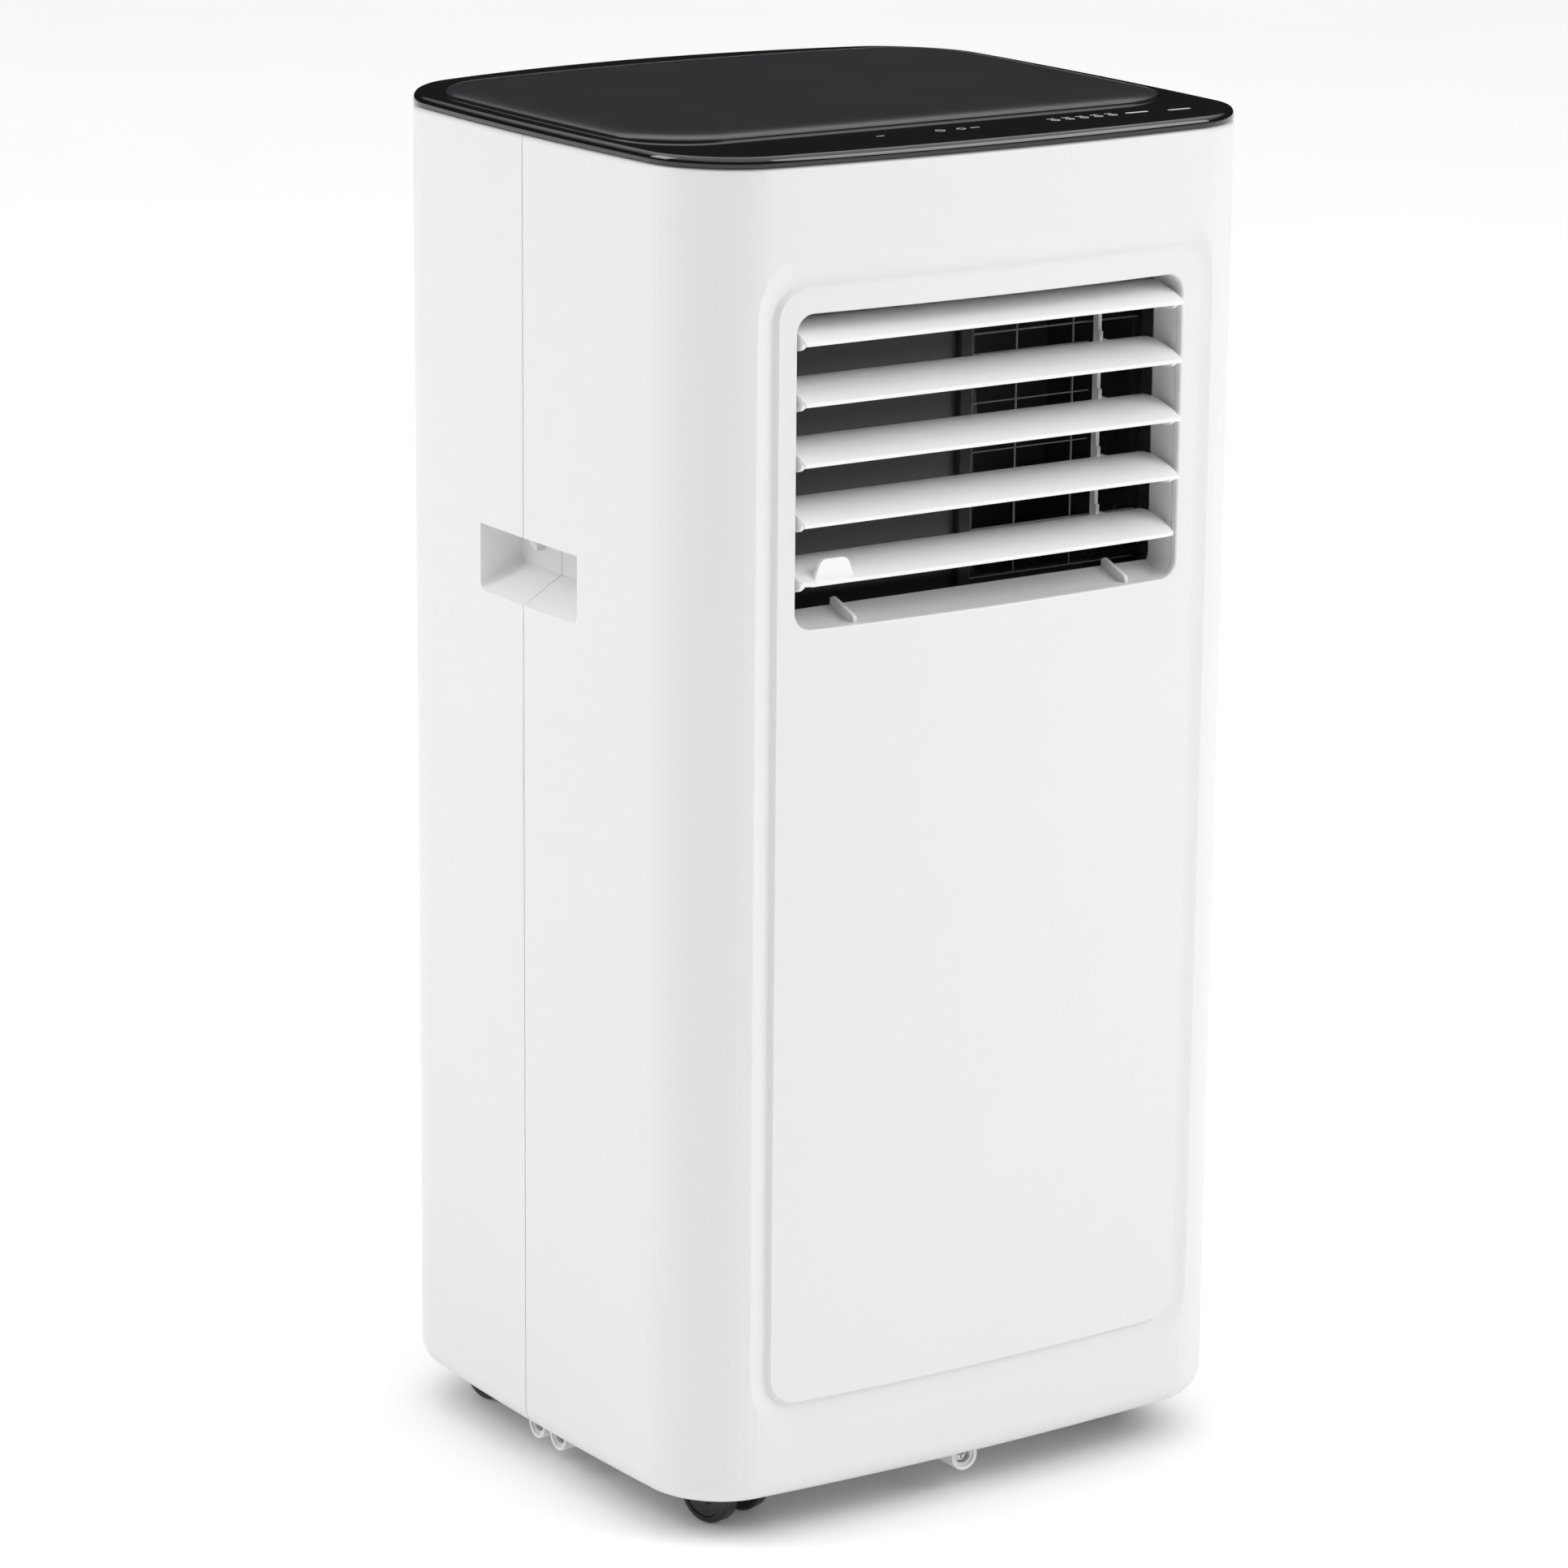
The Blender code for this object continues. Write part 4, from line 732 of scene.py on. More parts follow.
def grip_tab(side):
    """A small tab that hangs from the recess's ceiling ahead of the seam and tapers inwards."""
    outer = FRONT_HIGH.x
    high = (outer - 0.0005, outer - 0.0070, SEAM - 0.0115, SEAM - 0.0008, GRIP_TOP + 0.0012)
    low = (outer - 0.0022, outer - 0.0070, SEAM - 0.0092, SEAM - 0.0066, GRIP_TOP - 0.0050)
    shape = bmesh.new()
    bmesh.ops.create_cube(shape, size=2)
    for vert in shape.verts:
        out, back, near, far, height = high if vert.co.z > 0 else low
        x = out if vert.co.x > 0 else back
        vert.co = (side * x, near if vert.co.y < 0 else far, height)
    return soften(shape, 0.0004, 2, 50)


def lug_solid(side, y):
    """A screw lug that hangs from the shell's lower edge, with its raised ring and its bore."""
    axis, foot = X if side else Y, settings("body").foot
    face = side * (FRONT_HIGH.x - foot) if side else front_y(0) + foot
    inward = -side if side else 1
    centre = (0, y, FRONT_LOW.z + LUG_RADIUS)
    start, end = sorted((face, face + inward * LUG_REACH))
    wide, low, high = LUG_RADIUS - 0.0002, centre[2], centre[2] + 0.014
    if side:
        neck = block((start, y - wide, low), (end, y + wide, high))
    else:
        neck = block((-wide, start, low), (wide, end, high))
    hull = joined(rod(centre, axis, LUG_RADIUS, start, end, 40), neck)

    def bored(radius, depth, sides):
        ends = sorted((face - inward * 0.01, face + inward * depth))
        return rod(centre, axis, radius, *ends, sides)

    return hull, bored(0.0058, 0.0012, 40), bored(0.0043, LUG_REACH - 0.002, 32)


def shell_common():
    """The part of both shells: the hollow body with its grips and open foot."""
    sizes = settings("body")
    top, inner_foot = FRONT_HIGH.z, sizes.foot - sizes.wall
    hollow = body_block(sizes.wall, sizes.floor_gap + sizes.wall, top + 0.02, inner_foot)
    foot = bow(pushed(plan_face(sizes.floor_gap - 0.01, sizes.foot + 0.001), Z * 0.03))
    steps = [("DIFFERENCE", hollow), ("DIFFERENCE", foot)]
    steps += [("UNION", grip_shape(side, GRIP_WALL)) for side in (-1, 1)]
    steps += [("DIFFERENCE", grip_shape(side, 0)) for side in (-1, 1)]
    steps.append(("INTERSECT", bow(pushed(plan_face(0.0), Z * 0.8))))
    return carved(body_block(0, sizes.floor_gap, top, sizes.foot, 0.003), *steps)


def seam_rounding(shape, place):
    """Breaks the sharp outer edge along the seam."""
    bmesh.ops.recalc_face_normals(shape, faces=shape.faces)
    found = [
        e
        for e in shape.edges
        if all(abs(v.co.y - place) < 2e-5 for v in e.verts)
        and e.calc_length() > 0.004
        and e.calc_face_angle(0) > 1.2
        and max(abs(v.co.x) for v in e.verts) > half_width() - 0.002
    ]
    bevel(shape, found, 0.0004, 2)
    return shape


def build_shells():
    whole = shell_common()
    seams = {"front": FRONT_HIGH.y - SEAM_GAP, "rear": REAR_LOW.y + SEAM_GAP}
    halves = {
        "front": block((-1, -1, -1), (1, seams["front"], 1)),
        "rear": block((-1, seams["rear"], -1), (1, 1, 1)),
    }
    lugs = {"front": [], "rear": []}
    for side in (-1, 1):
        lugs["front"].append(lug_solid(side, SEAM - LUG_OFFSET))
        lugs["rear"].append(lug_solid(side, SEAM + LUG_OFFSET))
    lugs["front"].append(lug_solid(0, 0))
    tools = {"front": [panel_tool(), outlet_tool()], "rear": rear_tools()}
    for name, place in seams.items():
        steps = [("INTERSECT", halves[name])]
        for hull, ring_recess, bore in lugs[name]:
            steps += [("UNION", hull), ("DIFFERENCE", ring_recess), ("DIFFERENCE", bore)]
        steps += [("DIFFERENCE", tool) for tool in tools[name]]
        skin = seam_rounding(carved(whole.copy(), *steps), place)
        piece(f"{name}_shell_skin", skin, "white_abs", "cabinet", f"{name}_shell")
    whole.free()
    # The tabs are light grey where the shell is white: painted shade, for the shadow under the
    # recess's ceiling.
    for name, side in (("left", -1), ("right", 1)):
        piece(f"grip_tab_{name}", grip_tab(side), "light_grey_plastic", "cabinet")


# ---------------------------------------------------------------- rear


def grille_tool(heights, grow):
    """A rounded block through the back, as large as a cover's seat and grown by a little."""
    half = GRILLE_HALF + grow
    low, high = heights[0] - grow, heights[1] + grow
    return rounded_block((-half, BACK_NEAR, low), (half, BACK_FAR, high), Y, 0.008 + grow, 8)


def round_hole(node, grow):
    """A bore through the back for a round node, a little larger than it."""
    low, high = corners(node)
    radius = (high.x - low.x) / 2 + grow
    return rod((low + high) / 2, Y, radius, BACK_NEAR, BACK_FAR, 64)


def rear_tools():
    return [
        grille_tool(UPPER_GRILLE, 0),
        grille_tool(LOWER_GRILLE, 0),
        round_hole("exhaust_collar", 0.0008),
        round_hole("upper_drain_plug", 0.0003),
        round_hole("lower_drain_plug", 0.0003),
        round_hole("cord_gland", 0.0003),
    ]


def grille_piece(name, heights, rows, node, body):
    """A bowed cover with rows of slim air slots either side of a middle rib."""
    low, high = heights
    top, border, rib = FRONT_HIGH.z, 0.012, 0.008
    pitch = (high - low - 2 * border) / rows
    tall = pitch * 0.28
    slots = []
    for row in range(rows):
        z = low + border + (row + 0.5) * pitch
        for side in (-1, 1):
            left, right = sorted((side * rib / 2, side * (GRILLE_HALF - border)))
            start, end = (left, BACK_NEAR, z - tall), (right, BACK_FAR, z + tall)
            slots.append(rounded_block(start, end, Y, tall * 0.6, 4))
    steps = [
        ("DIFFERENCE", body_block(settings("body").wall, 0, top + 0.1)),
        ("INTERSECT", grille_tool(heights, -0.0007)),
        ("DIFFERENCE", merged(*slots)),
    ]
    if node == "filter_cover":
        dimple = rod((0, back_y(0) + 0.004, 0), Z, 0.009, high - 0.0095, high + 0.01)
        steps.append(("DIFFERENCE", dimple))
    piece(name, carved(body_block(0, 0.02, top), *steps), "white_abs", body, node)


def build_rear():
    grille_piece("intake_cover", UPPER_GRILLE, 10, "filter_cover", "filter_cover")
    grille_piece("condenser_cover", LOWER_GRILLE, 7, "lower_grille", "cabinet")
    build_filter()
    build_collar()
    for name in ("upper_drain_plug", "lower_drain_plug"):
        piece(f"{name}_rubber", plug_shape(*corners(name)), "black_rubber", name, name)
    low, high = corners("cord_gland")
    profile = [
        (0.0043, low.y),
        (0.0088, low.y),
        (0.0088, high.y - 0.001),
        (0.0078, high.y),
        (0.0053, high.y),
        (0.0043, high.y - 0.001),
    ]
    bush = ring((low + high) / 2, Y, profile, 56)
    piece("cord_gland_bush", bush, "black_nylon", "cabinet", "cord_gland")


def plug_shape(low, high):
    """A drain plug: its body, a soft lip and a pull tab."""
    centre, face = (low + high) / 2, high.y - 0.005
    body = rod(centre, Y, 0.0075, low.y, face, 40, 0.0073)
    lip = soften(rod(centre, Y, 0.0072, face - 0.002, face + 0.0006, 40), 0.0004)
    start = (centre.x - 0.0015, face - 0.001, centre.z - 0.005)
    end = (centre.x + 0.0015, high.y, centre.z + 0.005)
    return joined(body, lip, rounded_block(start, end, X, 0.0016, 4))


def build_filter():
    """A framed screen of fine crossed threads."""
    low, high = corners("air_filter")
    border, near, far = 0.006, low.y - 0.01, high.y + 0.01
    tall = (high.z - low.z - border) / 2
    panes = []
    for column in (-1, 1):
        left, right = sorted((column * border / 2, column * (high.x - border)))
        for row in range(2):
            foot = low.z + border / 2 + row * tall
            start, end = (left, near, foot + border / 2), (right, far, foot + tall - border / 2)
            panes.append(block(start, end))
    screen = carved(rounded_block(low, high, Y, 0.003, 3), ("DIFFERENCE", merged(*panes)))
    piece("air_filter_frame", screen, "filter_mesh", "filter_cover", "air_filter")
    pitch, half, edge = 0.004, 0.00035, 0.003
    near, far = (low.y + high.y) / 2 - half, (low.y + high.y) / 2 + half
    threads = [
        block((x - half, near, low.z + edge), (x + half, far, high.z - edge))
        for x in spread(low.x + pitch, high.x - pitch, pitch)
    ]
    threads += [
        block((low.x + edge, near, z - half), (high.x - edge, far, z + half))
        for z in spread(low.z + pitch, high.z - pitch, pitch)
    ]
    piece("air_filter_threads", merged(*threads), "filter_mesh", "filter_cover")


def build_collar():
    """The hose socket: a rolled mouth, and three inner bayonet ribs."""
    low, high = corners("exhaust_collar")
    centre, outer, inner, mouth = (low + high) / 2, (high.x - low.x) / 2, 0.062, high.y
    profile = [
        (inner, low.y),
        (outer, low.y),
        (outer, mouth - 0.0012),
        (outer - 0.0004, mouth - 0.0004),
        (outer - 0.0014, mouth),
        (inner + 0.0012, mouth),
        (inner + 0.0003, mouth - 0.0004),
        (inner, mouth - 0.0012),
    ]
    ribs = []
    for turn in (90, 210, 330):
        start, end = (inner - 0.0022, mouth - 0.016, -0.011), (inner + 0.001, mouth - 0.013, 0.011)
        rib = rounded_block(start, end, X, 0.001, 3)
        heading = Matrix.Rotation(math.radians(turn), 4, "Y")
        rib.transform(Matrix.Translation((centre.x, 0, centre.z)) @ heading)
        ribs.append(rib)
    socket = joined(ring(centre, Y, profile, 96), *ribs)
    piece("exhaust_socket", socket, "light_grey_plastic", "cabinet", "exhaust_collar")


# ---------------------------------------------------------------- top


def crowned(shape, wide, rise, steps):
    """Draws the top face inwards and upwards along a quarter round."""
    top = max(shape.faces, key=lambda f: (f.calc_center_median().z, f.calc_area()))
    turns = [math.radians(90 * i / steps) for i in range(steps + 1)]
    profile = [(wide * (1 - math.cos(t)), rise * math.sin(t)) for t in turns]
    return drawn(shape, top, profile)


def plate_insets(grow):
    """Where the plate's outline stands inside the body's."""
    strip = settings("top").front_strip
    sides, back, radius = 0.011 + grow, 0.016 + grow, 0.036 - grow
    return {"sides": sides, "front": strip + grow, "back": back, "radius": radius}


def build_top():
    sizes = settings("top")
    base, height = BEZEL_LOW.z, BEZEL_HIGH.z - BEZEL_LOW.z
    upright = pushed(plan_face(base), Z * (height * 0.30))
    shape = bow(crowned(upright, sizes.slope, height * 0.70, 9))
    seat = bow(pushed(plan_face(PLATE_LOW.z - 0.0003, **plate_insets(-0.0007)), Z * 0.02))
    piece("top_cover", carved(shape, ("DIFFERENCE", seat)), "smoked_gloss", "cabinet", "top_bezel")

    base, crest = PLATE_LOW.z, BEZEL_HIGH.z + 0.0006
    upright = pushed(plan_face(base, **plate_insets(0.0)), Z * (crest - base))
    lid = bow(crowned(upright, sizes.shoulder, PLATE_HIGH.z - crest, 12))
    piece("top_lid", lid, "charcoal_plate", "cabinet", "top_plate")
    build_marks()


def build_marks():
    """Printed control marks: two bars, a cluster of icons and a small pair near the middle."""
    low = BEZEL_HIGH.z + 0.00002
    high = low + 0.00008
    row = front_line() + 0.024
    marks = []

    def bar(x, y, wide, deep):
        start, end = (x - wide / 2, y - deep / 2, low), (x + wide / 2, y + deep / 2, high)
        marks.append(rounded_block(start, end, Z, deep * 0.3, 3))

    def dot(x, y, radius):
        marks.append(rod((x, y, 0), Z, radius, low, high, 20))

    def loop(x, y, radius):
        edge = radius + 0.0005
        profile = [(radius, low), (edge, low), (edge, high), (radius, high)]
        marks.append(ring((x, y, 0), Z, profile, 24))

    bar(0.128, row - 0.001, 0.013, 0.0022)
    bar(0.104, row + 0.001, 0.013, 0.0022)
    for i in range(settings("top").marks):
        x = 0.055 + 0.0085 * i
        loop(x, row, 0.0018)
        bar(x, row + 0.0042, 0.0042, 0.0007)
        dot(x, row, 0.0006)
    loop(-0.012, row, 0.0020)
    bar(-0.012, row + 0.0012, 0.0006, 0.0026)
    loop(0.000, row, 0.0018)
    bar(0.008, row, 0.0052, 0.0008)
    bar(-0.046, row, 0.0044, 0.0006)
    piece("control_marks", merged(*marks), "print_ink", "cabinet", slot="smoked_gloss")


# ---------------------------------------------------------------- outlet


def pivot(index):
    """Where a louver turns, from its joint."""
    return Vector(joint(f"louver_{index}_tilt")["pos_m"])


def blade_half():
    """Half the width of a louver blade."""
    return settings("outlet").width / 2 - 0.002


def build_throat():
    """The white throat behind the outlet, with soft inner corners, bearings and two sill fins."""
    sizes = settings("outlet")
    wall, radius = 0.0021, sizes.radius
    half, low, high = sizes.width / 2, sizes.low, sizes.high
    front, back, foot = FRONT_LOW.y, THROAT_BACK, sizes.low - wall / 2
    start, end = (-half - wall, front, low - wall), (half + wall, back, high + wall)
    outer = rounded_block(start, end, Y, radius + wall, 10)
    inner = rounded_block((-half, front - 0.01, low), (half, back + 0.01, high), Y, radius, 10)
    steps = [("DIFFERENCE", inner)]
    for x in (-half + 0.035, half - 0.0278):
        y = front_y(x)
        outline = [
            (y + 0.0035, foot),
            (back - 0.0002, foot),
            (back - 0.0002, low + 0.0082),
            (back - 0.0020, low + 0.0090),
            (back - 0.0045, low + 0.0084),
            (y + 0.0058, low + 0.0036),
            (y + 0.0042, low + 0.0020),
        ]
        fin = soften(prism(outline, X, x - 0.0011, x + 0.0011), 0.0003, 2, 60)
        steps.append(("UNION", fin))
    edge = front_y(half) + 0.006
    sill = [(edge, foot), (back - 0.0002, foot), (back - 0.0002, low + 0.0048)]
    steps.append(("UNION", prism(sill, X, -half + 0.002, half - 0.002)))
    steps.append(("INTERSECT", body_block(settings("body").wall + 0.0003, 0.0, FRONT_HIGH.z)))
    places = [pivot(index) for index in range(1, LOUVERS + 1)]
    bores = [rod(place, X, 0.0021, -half - 0.02, half + 0.02, 24) for place in places]
    steps.append(("DIFFERENCE", merged(*bores)))
    piece("outlet_throat", carved(outer, *steps), "white_abs", "cabinet", "outlet_frame")


def blade_outline(chord, lift):
    """A louver's section: an arched sheet with a blunt, softly rounded nose."""
    sizes = settings("outlet")
    steps = 18
    upper, lower = [], []
    for i in range(steps + 1):
        share = i / steps
        middle = lift * share + 4 * sizes.camber * share * (1 - share)
        nose = 0.74 + 0.26 * min(1, 5 * share)
        tail = 1 - 0.45 * max(0, share - 0.8) / 0.2
        half = sizes.thickness / 2 * nose * tail
        upper.append((chord * share, middle + half))
        lower.append((chord * share, middle - half))
    return upper + lower[::-1]


def blade(place, chord, swell=0.0):
    """A louver blade across the outlet. A swell bows its front edge, and draws its corners in."""
    half, front, corner = blade_half(), BLADE_LOW.y, 0.010
    section = blade_outline(chord, settings("outlet").rise)
    shape = prism([(front + d, place.z + z) for d, z in section], X, -half, half)
    ends = [e for e in shape.edges if not along(e, X)]
    nose = [e for e in shape.edges if along(e, X) and e.calc_face_angle(0) > 0.9]
    bevel(shape, ends + nose, 0.00035, 3)
    if swell:
        slice_across(shape, X, spread(-half, half, 0.006))
        for vert in shape.verts:
            share = max(0.0, 1 - (vert.co.y - front) / chord)
            reach = abs(vert.co.x) / half
            tip = max(0.0, abs(vert.co.x) - (half - corner)) / corner
            turned = 1 - math.sqrt(max(0.0, 1 - tip * tip))
            vert.co.y += share * (swell * reach**2 + 0.0022 * turned)
    return shape


def hook(place, side):
    """The hooked ear under a blade's end, round its pivot."""
    half, y, z = blade_half(), place.y, place.z
    outline = [
        (y - 0.0100, z + 0.0016),
        (y - 0.0086, z - 0.0016),
        (y - 0.0060, z - 0.0034),
        (y - 0.0028, z - 0.0042),
        (y + 0.0012, z - 0.0040),
        (y + 0.0030, z - 0.0026),
        (y + 0.0040, z - 0.0002),
        (y + 0.0060, z + 0.0040),
    ]
    ends = sorted((side * (half - 0.0026), side * (half - 0.0001)))
    return soften(prism(outline, X, *ends), 0.0003, 2, 50)


def build_louvers():
    chord, half = settings("outlet").chord, blade_half()
    link_low, link_high = corners("louver_link")
    pin_y, x = (link_low.y + link_high.y) / 2, link_high.x + 0.0003
    for index in range(1, LOUVERS + 1):
        place, last = pivot(index), index == LOUVERS
        parts = [hook(place, side) for side in ((-1,) if last else (-1, 1))]
        for side in (-1, 1):
            reach = sorted((side * (half - 0.001), side * (BLADE_HIGH.x - 0.0002)))
            parts.append(rod(place, X, 0.0018, *reach, 24))
        z = place.z + PIN_RISE
        start, end = (x, pin_y - 0.0062, z - 0.0018), (x + 0.002, pin_y + 0.0019, z + 0.0042)
        parts.append(rounded_block(start, end, X, 0.0017, 4))
        parts.append(rod((0, pin_y, z), X, 0.0011, link_low.x - 0.0009, x + 0.001, 20))
        head = rod((0, pin_y, z), X, 0.0018, link_low.x - 0.0015, link_low.x - 0.0005, 20)
        parts.append(soften(head, 0.0003))
        if last:
            parts += finger_tab(place, half)
        shape = joined(blade(place, chord, 0.002 if last else 0.0), *parts)
        node = f"louver_{index}"
        # The blades wear the brighter copy of the white, which is painted light.
        piece(f"louver_blade_{index}", shape, "louver_white_painted_light", node, node, slot="white_abs")
    build_link(link_low, link_high, pin_y)


def finger_tab(place, half):
    """The tapered grip that stands on the last louver's left end, and its foot."""
    left, z, front = -half + 0.0070, place.z, BLADE_LOW.y + 0.0034
    low, high = z - 0.0008, z + 0.0112
    outline = [(left, low), (left + 0.0240, low), (left + 0.0195, high), (left + 0.0045, high)]
    tab = prism(outline, Y, front, front + 0.0026)
    bevel(tab, [e for e in rim(tab, high) if along(e, Y)], 0.0028, 6)
    soften(tab, 0.0003, 2, 50)
    start = (left - 0.001, front - 0.0010, z - 0.0012)
    end = (left + 0.0262, front + 0.004, z + 0.0012)
    return [tab, rounded_block(start, end, X, 0.0005, 2)]


def build_link(low, high, pin_y):
    """The flat tie bar, notched between its pins."""
    left, right = low.x - 0.01, high.x + 0.01
    heights = [pivot(index).z + PIN_RISE for index in range(1, LOUVERS + 1)]
    steps = []
    for z in heights[:-1]:
        start, end = (left, low.y - 0.01, z - 0.0202), (right, low.y + 0.0012, z - 0.0082)
        steps.append(("DIFFERENCE", rounded_block(start, end, X, 0.0008, 3)))
    holes = [rod((0, pin_y, z), X, 0.0014, left, right, 20) for z in heights]
    steps.append(("DIFFERENCE", merged(*holes)))
    bar = rounded_block(low, high, X, 0.0025, 6)
    piece("tie_bar", carved(bar, *steps), "white_abs", "louver_link", "louver_link")


def build_guard():
    """Fine crossed wires over the blower's mouth, with short stays out to the tie bar."""
    wire = settings("outlet").wire / 2
    low, high = corners("outlet_guard")
    middle, edge, tie = (low.y + high.y) / 2, low.x + 0.0008, corners("louver_link")[0].x
    foot, head = low.z + 0.001, high.z - 0.001
    rails = [
        rod((x, middle + wire, 0), Z, wire, foot, head, 12) for x in (edge, 0.0422, 0.0758)
    ]
    centre = middle - wire * 0.4
    between = spread(foot, head, 0.0285)
    for z in (foot, head, *between):
        rails.append(rod((0, centre, z), X, wire, edge, high.x - 0.001, 12))
    for z in between:
        rails.append(rod((0, centre, z + 0.0140), X, wire * 0.7, edge, tie, 10))
    # The wires take the darker grey, which is painted shade over their light grey.
    wires, slot = merged(*rails), "light_grey_plastic"
    piece("guard_wires", wires, "wire_grey_painted_shade", "cabinet", "outlet_guard", slot=slot)


def build_scroll():
    """Trim on the dark housing behind the louvers: a parting ridge, two ribs and a flange."""
    low, high = corners("blower_scroll")
    face, guard = low.y, corners("outlet_guard")[0].x
    back, seam = face - 0.0001, 0.5225
    start, end = (low.x + 0.004, face - 0.0012, seam), (guard - 0.008, back, seam + 0.0015)
    parts = [rounded_block(start, end, X, 0.0003, 2)]
    start = (guard - 0.0075, face - 0.0040, low.z + 0.008)
    end = (guard - 0.0008, back, high.z - 0.008)
    parts.append(rounded_block(start, end, Z, 0.0008, 3))
    for x in (-0.093, -0.088):
        start, end = (x, face - 0.0030, seam + 0.0020), (x + 0.0014, back, seam + 0.0135)
        parts.append(rounded_block(start, end, Z, 0.0003, 2))
    piece("scroll_trim", merged(*parts), "black_rubber", "cabinet", slot="dark_grey_plastic")


# ---------------------------------------------------------------- casters


def build_casters():
    """Each caster is built straight, its wheels behind the stem, then turned about the stem."""
    sizes = settings("caster")
    for number in range(1, 5):
        roll = joint(f"caster_wheel_{number}_roll")
        stem = Vector(joint(f"caster_{number}_swivel")["pos_m"])
        axle, wheel = Vector(roll["axis"]), Vector(roll["pos_m"])
        centre = Vector((stem.x, stem.y - (wheel - stem).xy.length, wheel.z))
        heading = Matrix.Rotation(math.atan2(axle.y, axle.x), 4, "Z")
        turn = Matrix.Translation(stem) @ heading @ Matrix.Translation(-stem)
        discs = []
        for side in (-1, 1):
            outer = centre.x + side * AXLE_REACH
            inner = centre.x + side * (AXLE_REACH - sizes.tread)
            discs.append(wheel_disc(centre, wheel.z, inner, outer, sizes.rounding))
        left, right = centre.x - AXLE_REACH + 0.002, centre.x + AXLE_REACH - 0.002
        pair = joined(rod(centre, X, 0.0025, left, right, 24), *discs)
        hood = hood_shape(stem, centre, wheel.z)
        pair.transform(turn)
        hood.transform(turn)
        node = f"caster_wheel_{number}"
        piece(f"wheel_pair_{number}", pair, "black_nylon", node, node)
        node = f"caster_{number}"
        piece(f"caster_hood_{number}", hood, "black_nylon", node, node)


def wheel_disc(centre, radius, inner, outer, rounding):
    """One wheel of a pair, with rounded edges, a dished face and a hub cap."""
    way = 1 if outer > inner else -1
    profile = [(0.0, inner), (radius - 0.0012, inner), (radius, inner + way * 0.0012)]
    for i in range(6):
        turn = math.radians(18 * i)
        inset, back = rounding * (1 - math.cos(turn)), rounding * (1 - math.sin(turn))
        profile.append((radius - inset, outer - way * back))
    profile += [
        (radius * 0.80, outer),
        (radius * 0.76, outer - way * 0.0007),
        (radius * 0.40, outer - way * 0.0009),
        (radius * 0.36, outer - way * 0.0002),
        (0.0, outer - way * 0.0001),
    ]
    return ring(centre, X, profile, 56, closed=False)


def hood_shape(stem, centre, radius):
    """The caster's curved hood over both wheels, its web and its swivel neck."""
    x, y, z = centre
    web, inner, outer = 0.0060, radius + 0.0011, radius + 0.0030
    left, right = x - AXLE_REACH, x + AXLE_REACH
    profile = [(inner, left), (outer, left), (outer, right), (inner, right)]
    keep = block((left - 0.01, y - 0.03, z + 0.0025), (right + 0.01, y + 0.03, z + 0.04))
    roof = soften(carved(ring(centre, X, profile, 72), ("INTERSECT", keep)), 0.0004, 2, 50)
    outline = [
        (y - 0.0068, z - 0.0018),
        (y, z - 0.0070),
        (y + 0.0068, z - 0.0018),
        (y + 0.0155, z + 0.0100),
        (stem.y + 0.0128, 0.0382),
        (stem.y + 0.0128, 0.0425),
        (stem.y - 0.0128, 0.0425),
        (y - 0.0100, z + 0.0140),
    ]
    spine = soften(prism(outline, X, x - web, x + web), 0.0006, 2, 50)
    collar = soften(rod(stem, Z, 0.0130, 0.0380, 0.0440, 48), 0.0008)
    neck = rod(stem, Z, 0.0040, 0.0430, corners("caster_1")[1].z, 24)
    bore = rod(centre, X, 0.0027, x - 0.02, x + 0.02, 24)
    return carved(
        spine, ("UNION", roof), ("UNION", collar), ("UNION", neck), ("DIFFERENCE", bore)
    )


# ---------------------------------------------------------------- screws and inner parts


def build_screws():
    """Pan-head screws with a crossed recess, sunk in the lugs."""
    for name in ("left_front", "left_rear", "right_front", "right_rear", "front"):
        node = f"screw_{name}"
        low, high = corners(node)
        centre = (low + high) / 2
        axis, other = (Y, X) if name == "front" else (X, Y)
        outward = -1 if name.split("_")[0] in ("front", "left") else 1
        reach = (high - low).dot(axis)
        face = centre.dot(axis) + outward * reach / 2
        middle = centre + axis * (face - centre.dot(axis))
        cross = []
        for one, two in ((other, Z), (Z, other)):
            half = one * 0.0022 + two * 0.00035 + axis * 0.0011
            cross.append(("DIFFERENCE", block(middle - half, middle + half)))
        head = sorted((face, face - outward * 0.002))
        shaft = sorted((face - outward * 0.0015, face - outward * reach))
        pan = soften(rod(centre, axis, 0.0039, *head, 40), 0.0005, 3)
        shape = carved(pan, ("UNION", rod(centre, axis, 0.0018, *shaft, 20)), *cross)
        piece(node + "_head", shape, "screw_steel", "cabinet", node)


def build_inner():
    """Gives every node that still shows its finish."""
    slots = {entry["node"]: entry["material_slot"] for entry in frame["record"]["subparts"]}
    for name, node in frame["nodes"].items():
        if node.hide_render:
            continue
        node.data.materials.clear()
        node.data.materials.append(FINISHES[slots[name]])


# ---------------------------------------------------------------- stage


def softbox(name, place, target, size, power):
    """A square area light that faces its target."""
    data = bpy.data.lights.new(name, "AREA")
    data.shape, data.size, data.size_y, data.energy = "RECTANGLE", size, size, power
    obj = bpy.data.objects.new(name, data)
    obj.location = place
    obj.rotation_euler = (Vector(target) - Vector(place)).to_track_quat("-Z", "Y").to_euler()
    bpy.context.scene.collection.objects.link(obj)


